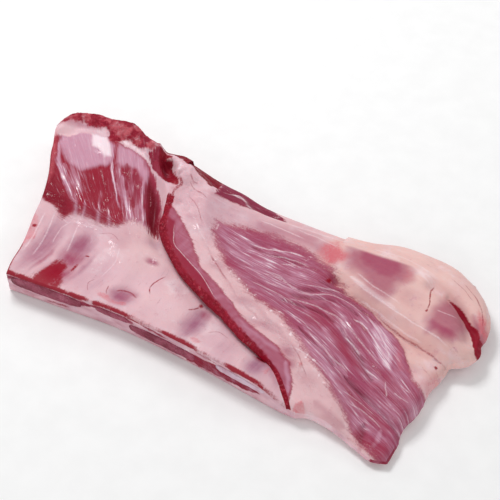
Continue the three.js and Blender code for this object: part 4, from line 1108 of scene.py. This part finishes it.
class Finish:
    """A material's nodes, built by calls."""

    def __init__(self, name):
        self.material = bpy.data.materials.new(name)
        self.material.use_nodes = True
        self.nodes, self.links = self.material.node_tree.nodes, self.material.node_tree.links
        self.shader = self.nodes["Principled BSDF"]

    def node(self, kind, settings=None, inputs=None, output=0):
        """Adds a node: its settings first, then the values or links of its sockets. Gives one output."""
        made = self.nodes.new(kind)
        for key, value in (settings or {}).items():
            setattr(made, key, value)
        self.feed(made, inputs or {})
        return Wire(self, made.outputs[output])

    def feed(self, made, inputs):
        for key, value in inputs.items():
            if isinstance(value, Wire):
                self.links.new(value.socket, made.inputs[key])
            else:
                made.inputs[key].default_value = value

    def mask(self, name):
        return self.node("ShaderNodeAttribute", {"attribute_name": name}, output="Fac")

    def blend(self, share, under, over):
        """One colour over another by a share."""
        return self.node("ShaderNodeMix", {"data_type": "RGBA"}, {0: share, 6: under, 7: over}, output=2)

    def ramp(self, value, low, high, to_low=0.0, to_high=1.0):
        """The value's smooth step from low to high, as a number from to_low to to_high."""
        settings = {"interpolation_type": "SMOOTHSTEP"}
        return self.node("ShaderNodeMapRange", settings, {0: value, 1: low, 2: high, 3: to_low, 4: to_high})

    def noise(self, place, scale, detail=3.0, roughness=0.55):
        sockets = {"Vector": place, "Scale": scale, "Detail": detail, "Roughness": roughness}
        return self.node("ShaderNodeTexNoise", {}, sockets)

    def wave(self, place, scale):
        """Noise that swings about 0, mostly between -1 and 1."""
        return self.noise(place, scale) * 4.0 - 2.0

    def trace(self, name, broken):
        """A fine line, cut out of its attribute's signed distance, and weaker where the noise is low."""
        line = self.node("ShaderNodeAttribute", {"attribute_name": name}, output="Vector")
        offset = self.node("ShaderNodeSeparateXYZ", {}, {0: line}, output="X")
        strength = self.node("ShaderNodeSeparateXYZ", {}, {0: line}, output="Y")
        return self.ramp(offset * offset, 0.3, 1.6, 1.0, 0.0) * strength * self.ramp(broken, -0.8, 0.4, 0.4, 1.0)

    def stretched(self, place, shares):
        """The place with each of its axes multiplied."""
        return self.node("ShaderNodeVectorMath", {"operation": "MULTIPLY"}, {0: place, 1: shares})


FAT_PINK = tint(228, 190, 199)
FAT_PEACH = tint(236, 197, 191)
FAT_BRIGHT = tint(244, 222, 226)
FAT_FLUSHED = tint(216, 152, 164)
MUSCLE_RED = tint(150, 26, 46)
MUSCLE_VIOLET = tint(162, 74, 102)
MUSCLE_DEEP = tint(104, 8, 26)
CRUMB_RED = tint(196, 72, 88)
SILVERSKIN = tint(206, 156, 178)
# White of film and fibres, also the colour of painted highlights and glints.
WHITE_FILM_AND_HIGHLIGHT = tint(248, 230, 236)
# Grey of bruised membrane, also used as painted shade beside the lip.
GREY_OF_BRUISE_AND_SHADE = tint(160, 116, 142)
# Rose of blushed fat, also used as painted shade along the creases.
ROSE_OF_BLUSH_AND_SHADE = tint(162, 66, 96)
BLOOD_RED = tint(148, 4, 34)
CORAL_FAT = tint(212, 108, 118)


def wet_tissue():
    """Flesh, fat and membrane: the masks choose the tissue, noise stretched along the fibres frays their
    borders and streaks them, and a thin wet coat lies over all."""
    f = Finish("wet_tissue")
    place = f.node("ShaderNodeTexCoord", output="Object")
    grain = f.node("ShaderNodeAttribute", {"attribute_name": "grain"}, output="Vector")
    fray = f.wave(place, 900.0)
    mottle = f.wave(place, 170.0)
    cloud = f.wave(place, 60.0)
    loud = 1.0 - f.mask("calm")
    threads = f.wave(f.stretched(grain, (80.0, 1000.0, 1.0)), 1.0) * loud
    strands = f.wave(f.stretched(grain, (30.0, 330.0, 1.0)), 1.0) * loud
    streaky = threads * 0.6 + strands * 0.6

    crumb = f.mask("crumb")
    grit = f.wave(place, 480.0)
    ragged = streaky * 0.55 * (1.0 - crumb) + mottle * 0.3 * crumb + mottle * (1.0 - loud) * 0.12 + fray * 0.12
    flesh = f.ramp(f.mask("flesh") + ragged, 0.25, 0.8)
    silver = f.ramp(f.mask("silver") + streaky * 0.5, 0.12, 1.0)
    white = f.ramp(f.mask("white") + streaky * 0.3, 0.3, 0.95)
    bruise_and_shade = f.mask("bruise_and_shade") * (mottle * 0.15 + streaky * 0.15 + 1.0)
    blush_and_shade = f.mask("blush_and_shade") * (mottle * loud * 0.15 + strands * 0.2 + 0.95)
    coral = f.ramp(f.mask("coral") * (mottle * 0.3 + fray * 0.3 + 1.0), 0.05, 1.0)
    crumbs = f.ramp(fray * 0.7 + grit * 0.8, 0.1, 1.0) * crumb

    fat = f.blend(f.mask("peach"), FAT_PINK, FAT_PEACH)
    fat = f.blend(f.ramp(cloud + mottle * 0.5, 0.0, 1.0) * 0.6, fat, FAT_BRIGHT)
    fat = f.blend(f.ramp(mottle + fray * 0.5, 0.35, 1.2) * 0.45, fat, FAT_FLUSHED)
    fat = f.blend(f.ramp(grit + fray * 0.6, 0.2, 1.2) * crumb * 0.7, fat, FAT_BRIGHT)
    fat = f.blend(f.ramp(grit + fray * 0.6, -0.3, -1.3) * crumb * 0.5, fat, FAT_FLUSHED)
    fat = f.blend(bruise_and_shade * 0.85, fat, GREY_OF_BRUISE_AND_SHADE)
    fat = f.blend(blush_and_shade * 0.95, fat, ROSE_OF_BLUSH_AND_SHADE)
    fat = f.blend(coral * 0.9, fat, CORAL_FAT)
    meat = f.blend(f.mask("violet"), MUSCLE_RED, MUSCLE_VIOLET)
    meat = f.blend(f.ramp(streaky, -0.2, -0.9) * 0.4, meat, MUSCLE_DEEP)
    meat = f.blend(f.mask("deep") * (fray * 0.12 + 0.9), meat, MUSCLE_DEEP)
    meat = f.blend(silver * 0.85, meat, SILVERSKIN)
    # White streaks along the fibres: partly white fibres, partly painted glints.
    meat = f.blend(f.ramp(streaky + threads * 0.4 + f.mask("silver"), 0.85, 1.6) * loud * 0.7, meat, WHITE_FILM_AND_HIGHLIGHT)
    meat = f.blend(coral * 0.8, meat, CORAL_FAT)
    meat = f.blend(crumbs * 0.7, meat, CRUMB_RED)
    colour = f.blend(flesh, fat, meat)
    # The white mask: pale film, fat and strands, with a painted highlight on the silverskin.
    colour = f.blend(white * 0.85, colour, WHITE_FILM_AND_HIGHLIGHT)
    colour = f.blend(f.trace("white_trace", fray), colour, WHITE_FILM_AND_HIGHLIGHT)
    colour = f.blend(f.trace("red_trace", fray), colour, BLOOD_RED)
    colour = f.blend(f.ramp(f.mask("blood") + fray * 0.15 + streaky * 0.15, 0.15, 0.75) * 0.94, colour, BLOOD_RED)

    rough = f.ramp(mottle + fray * 0.3, -0.8, 0.8, 0.40, 0.60) + crumbs * 0.1
    height = threads * (flesh * 0.16 + 0.04) + fray * (crumb * 0.4 + 0.07) + mottle * 0.14 + silver * 0.2
    height = height + grit * crumb * 0.7
    bumpy = f.node("ShaderNodeBump", {}, {"Strength": 0.6, "Distance": 0.0007, "Height": height})
    f.feed(f.shader, {
        "Base Color": colour, "Roughness": rough, "Normal": bumpy,
        "Coat Weight": f.ramp(mottle + threads * 0.6, 0.3, 1.3, 0.0, 0.7) * (1.0 - crumb * 0.7),
        "Coat Roughness": 0.13, "IOR": 1.38, "Specular IOR Level": 0.12,
        "Subsurface Weight": 0.15, "Subsurface Scale": 0.0015, "Subsurface Radius": (1.0, 0.35, 0.3),
    })
    return f.material


def sawn_bone():
    """Spongy bone full of marrow: dark red pores in a web of pale bone, sawn flat and damp."""
    f = Finish("sawn_bone")
    place = f.node("ShaderNodeTexCoord", output="Object")
    pores = f.node("ShaderNodeTexVoronoi", {"feature": "F1"}, {"Vector": place, "Scale": 900.0})
    patches = f.wave(place, 120.0)
    fine = f.wave(f.stretched(place, (1.0, 1.0, 0.5)), 1200.0)
    web = f.ramp(fine + patches * 0.4, 0.1, 1.0)
    colour = f.blend(f.ramp(patches, -0.6, 0.6), tint(124, 34, 58), tint(158, 68, 92))
    colour = f.blend(web * 0.5, colour, tint(196, 130, 148))
    colour = f.blend(f.ramp(pores, 0.0, 0.35, 0.5, 0.0), colour, tint(84, 16, 34))
    bump = f.node("ShaderNodeBump", {}, {"Strength": 0.6, "Distance": 0.0005, "Height": pores * 0.5 + fine * 0.15})
    f.feed(f.shader, {"Base Color": colour, "Roughness": f.ramp(fine, -1.0, 1.0, 0.4, 0.65), "Normal": bump,
                      "Coat Weight": 0.1, "Coat Roughness": 0.2, "Specular IOR Level": 0.3})
    return f.material


def white_cartilage():
    """Smooth gristle, white with a lilac cast and a few pink stains."""
    f = Finish("white_cartilage")
    place = f.node("ShaderNodeTexCoord", output="Object")
    stains = f.noise(place, 120.0, 4.0, 0.6) - 0.5
    fine = f.noise(place, 700.0, 3.0, 0.6) - 0.5
    colour = f.blend(f.ramp(stains, -0.1, 0.3), tint(212, 184, 200), tint(190, 128, 150))
    bump = f.node("ShaderNodeBump", {}, {"Strength": 0.3, "Distance": 0.0004, "Height": fine})
    f.feed(f.shader, {"Base Color": colour, "Roughness": f.ramp(fine, -0.3, 0.3, 0.28, 0.45), "Normal": bump,
                      "Coat Weight": 0.4, "Coat Roughness": 0.15, "IOR": 1.42})
    return f.material


def pale_floor():
    f = Finish("pale_floor")
    place = f.node("ShaderNodeTexCoord", output="Object")
    grain = f.noise(place, 60.0, 3.0, 0.5) - 0.5
    colour = f.blend(f.ramp(grain, -0.3, 0.3), tint(244, 244, 244), tint(248, 248, 248))
    f.feed(f.shader, {"Base Color": colour, "Roughness": 0.8})
    return f.material


# ------------------------------------------------------------------ breastbone
# Name, middle along X, length, middle height, height and taper of each section in the sawn edge.
BREASTBONE = [
    ("breastbone_front", -91, 49, 11.6, 9, 0.1),
    ("breastbone_middle", -45.5, 23, 13, 5.2, -0.1),
    ("breastbone_rear", -10.5, 47, 7.8, 8.2, -0.1),
    ("breastbone_cartilage", 45, 34, 12.4, 5, 0.3),
]
BONE_DEPTH, BONE_PROUD = 6.0, 0.7


def bone_surface(middle, length, level, height, taper):
    """A superellipse section with a wavy edge, on rings that crown the sawn face slightly, run in to the depth
    and close at a middle point on both faces."""
    sides, face_rings = 96, 12
    angle = np.linspace(0, 2 * np.pi, sides, endpoint=False)
    c, s = np.cos(angle), np.sin(angle)
    wobble = 1 + 0.035 * noise(angle * 3.2, 0 * angle + middle, 401) * np.abs(np.cos(angle / 2))
    ex = np.sign(c) * np.abs(c)**0.6 * length / 2
    ez = np.sign(s) * np.abs(s)**0.6 * height / 2 * (1 - taper * ex / length) * wobble
    shares = np.linspace(0, 1, face_rings + 1)[1:]
    face = [(ex * k, ez * k, -BONE_PROUD + 0.35 * k**6 + 0.18 * noise(ex * k / 1.4, ez * k / 1.4, 403)) for k in shares]
    inside = [(ex, ez, np.full(sides, depth)) for depth in (1.5, BONE_DEPTH)]
    rings = face + inside
    place, across = sawn_place(middle)
    local = np.concatenate([np.stack(r, -1) for r in rings] + [[(0, 0, -BONE_PROUD)], [(0, 0, BONE_DEPTH)]])
    points = np.stack([place[0] + local[:, 0] * across[0] - local[:, 2] * across[1],
                       place[1] + local[:, 0] * across[1] + local[:, 2] * across[0],
                       level + local[:, 1]], -1)
    index = np.arange(len(rings) * sides).reshape(len(rings), sides)
    after = np.roll(index, -1, axis=1)
    faces = quads(index[:-1], index[1:], after[1:], after[:-1])
    front, back = len(rings) * sides, len(rings) * sides + 1
    faces += np.stack([np.full(sides, front), index[0], after[0]], -1).tolist()
    faces += np.stack([np.full(sides, back), after[-1], index[-1]], -1).tolist()
    return points, faces


def sawn_place(x):
    """The point of the sawn edge at x, and the way that the edge runs there."""
    line = along(plan(SAWN_EDGE), np.linspace(0, 1, 80))
    y = np.interp([x - 1, x, x + 1], line[:, 0], line[:, 1])
    way = np.array([2.0, y[2] - y[0]])
    return (x, y[1]), way / np.linalg.norm(way)


# ------------------------------------------------------------------ the object
points, faces, attributes = flap_surface()
make_piece("flap_tissue", points, faces, attributes, ["flap_meat"], wet_tissue())
bone_finish, cartilage_finish = sawn_bone(), white_cartilage()
for bone, *measures in BREASTBONE:
    gristle = bone.endswith("cartilage")
    points, faces = bone_surface(*measures)
    make_piece(bone.replace("breastbone", "sawn"), points, faces, {},
               [bone], cartilage_finish if gristle else bone_finish)


# ------------------------------------------------------------------ floor, light and camera
def floor():
    mesh = bpy.data.meshes.new("floor")
    reach = 3.0
    mesh.from_pydata([(-reach, -reach, 0), (reach, -reach, 0), (reach, reach, 0), (-reach, reach, 0)], [], [(0, 1, 2, 3)])
    mesh.materials.append(pale_floor())
    piece = bpy.data.objects.new("floor", mesh)
    bpy.context.scene.collection.objects.link(piece)


def soft_light(name, place, size, watts, aim=(0, 0, 0.01)):
    light = bpy.data.lights.new(name, "AREA")
    light.shape = "RECTANGLE"
    light.size, light.size_y, light.energy = size[0], size[1], watts
    lamp = bpy.data.objects.new(name, light)
    lamp.location = place
    lamp.rotation_euler = (Vector(aim) - Vector(place)).to_track_quat("-Z", "Y").to_euler()
    bpy.context.scene.collection.objects.link(lamp)


def studio():
    world = bpy.data.worlds.new("studio")
    world.use_nodes = True
    background = world.node_tree.nodes["Background"]
    background.inputs["Color"].default_value = (1.0, 1.0, 1.0, 1)
    background.inputs["Strength"].default_value = 0.5
    bpy.context.scene.world = world
    soft_light("key", (-0.55, 0.3, 0.9), (0.4, 0.3), 6.4)
    soft_light("fill", (0.4, -0.9, 0.4), (0.9, 0.6), 2.2)
    soft_light("rim", (0.5, 0.6, 0.5), (0.3, 0.2), 0.8)


def photo_camera():
    """The photograph's view: from the near right, 50 degrees above the table, through a long lens."""
    turn, tilt = math.radians(29), math.radians(50)
    camera = bpy.data.cameras.new("photo_view")
    camera.lens, camera.sensor_width = 90, 36
    view = bpy.data.objects.new("photo_view", camera)
    view.matrix_world = (Matrix.Translation(Vector((248.285, -421.215, 616.511)) * MM)
                         @ Matrix.Rotation(turn, 4, "Z") @ Matrix.Rotation(math.pi / 2 - tilt, 4, "X"))
    bpy.context.scene.collection.objects.link(view)
    bpy.context.scene.camera = view


floor()
studio()
photo_camera()
bpy.context.scene.view_settings.view_transform = "Standard"
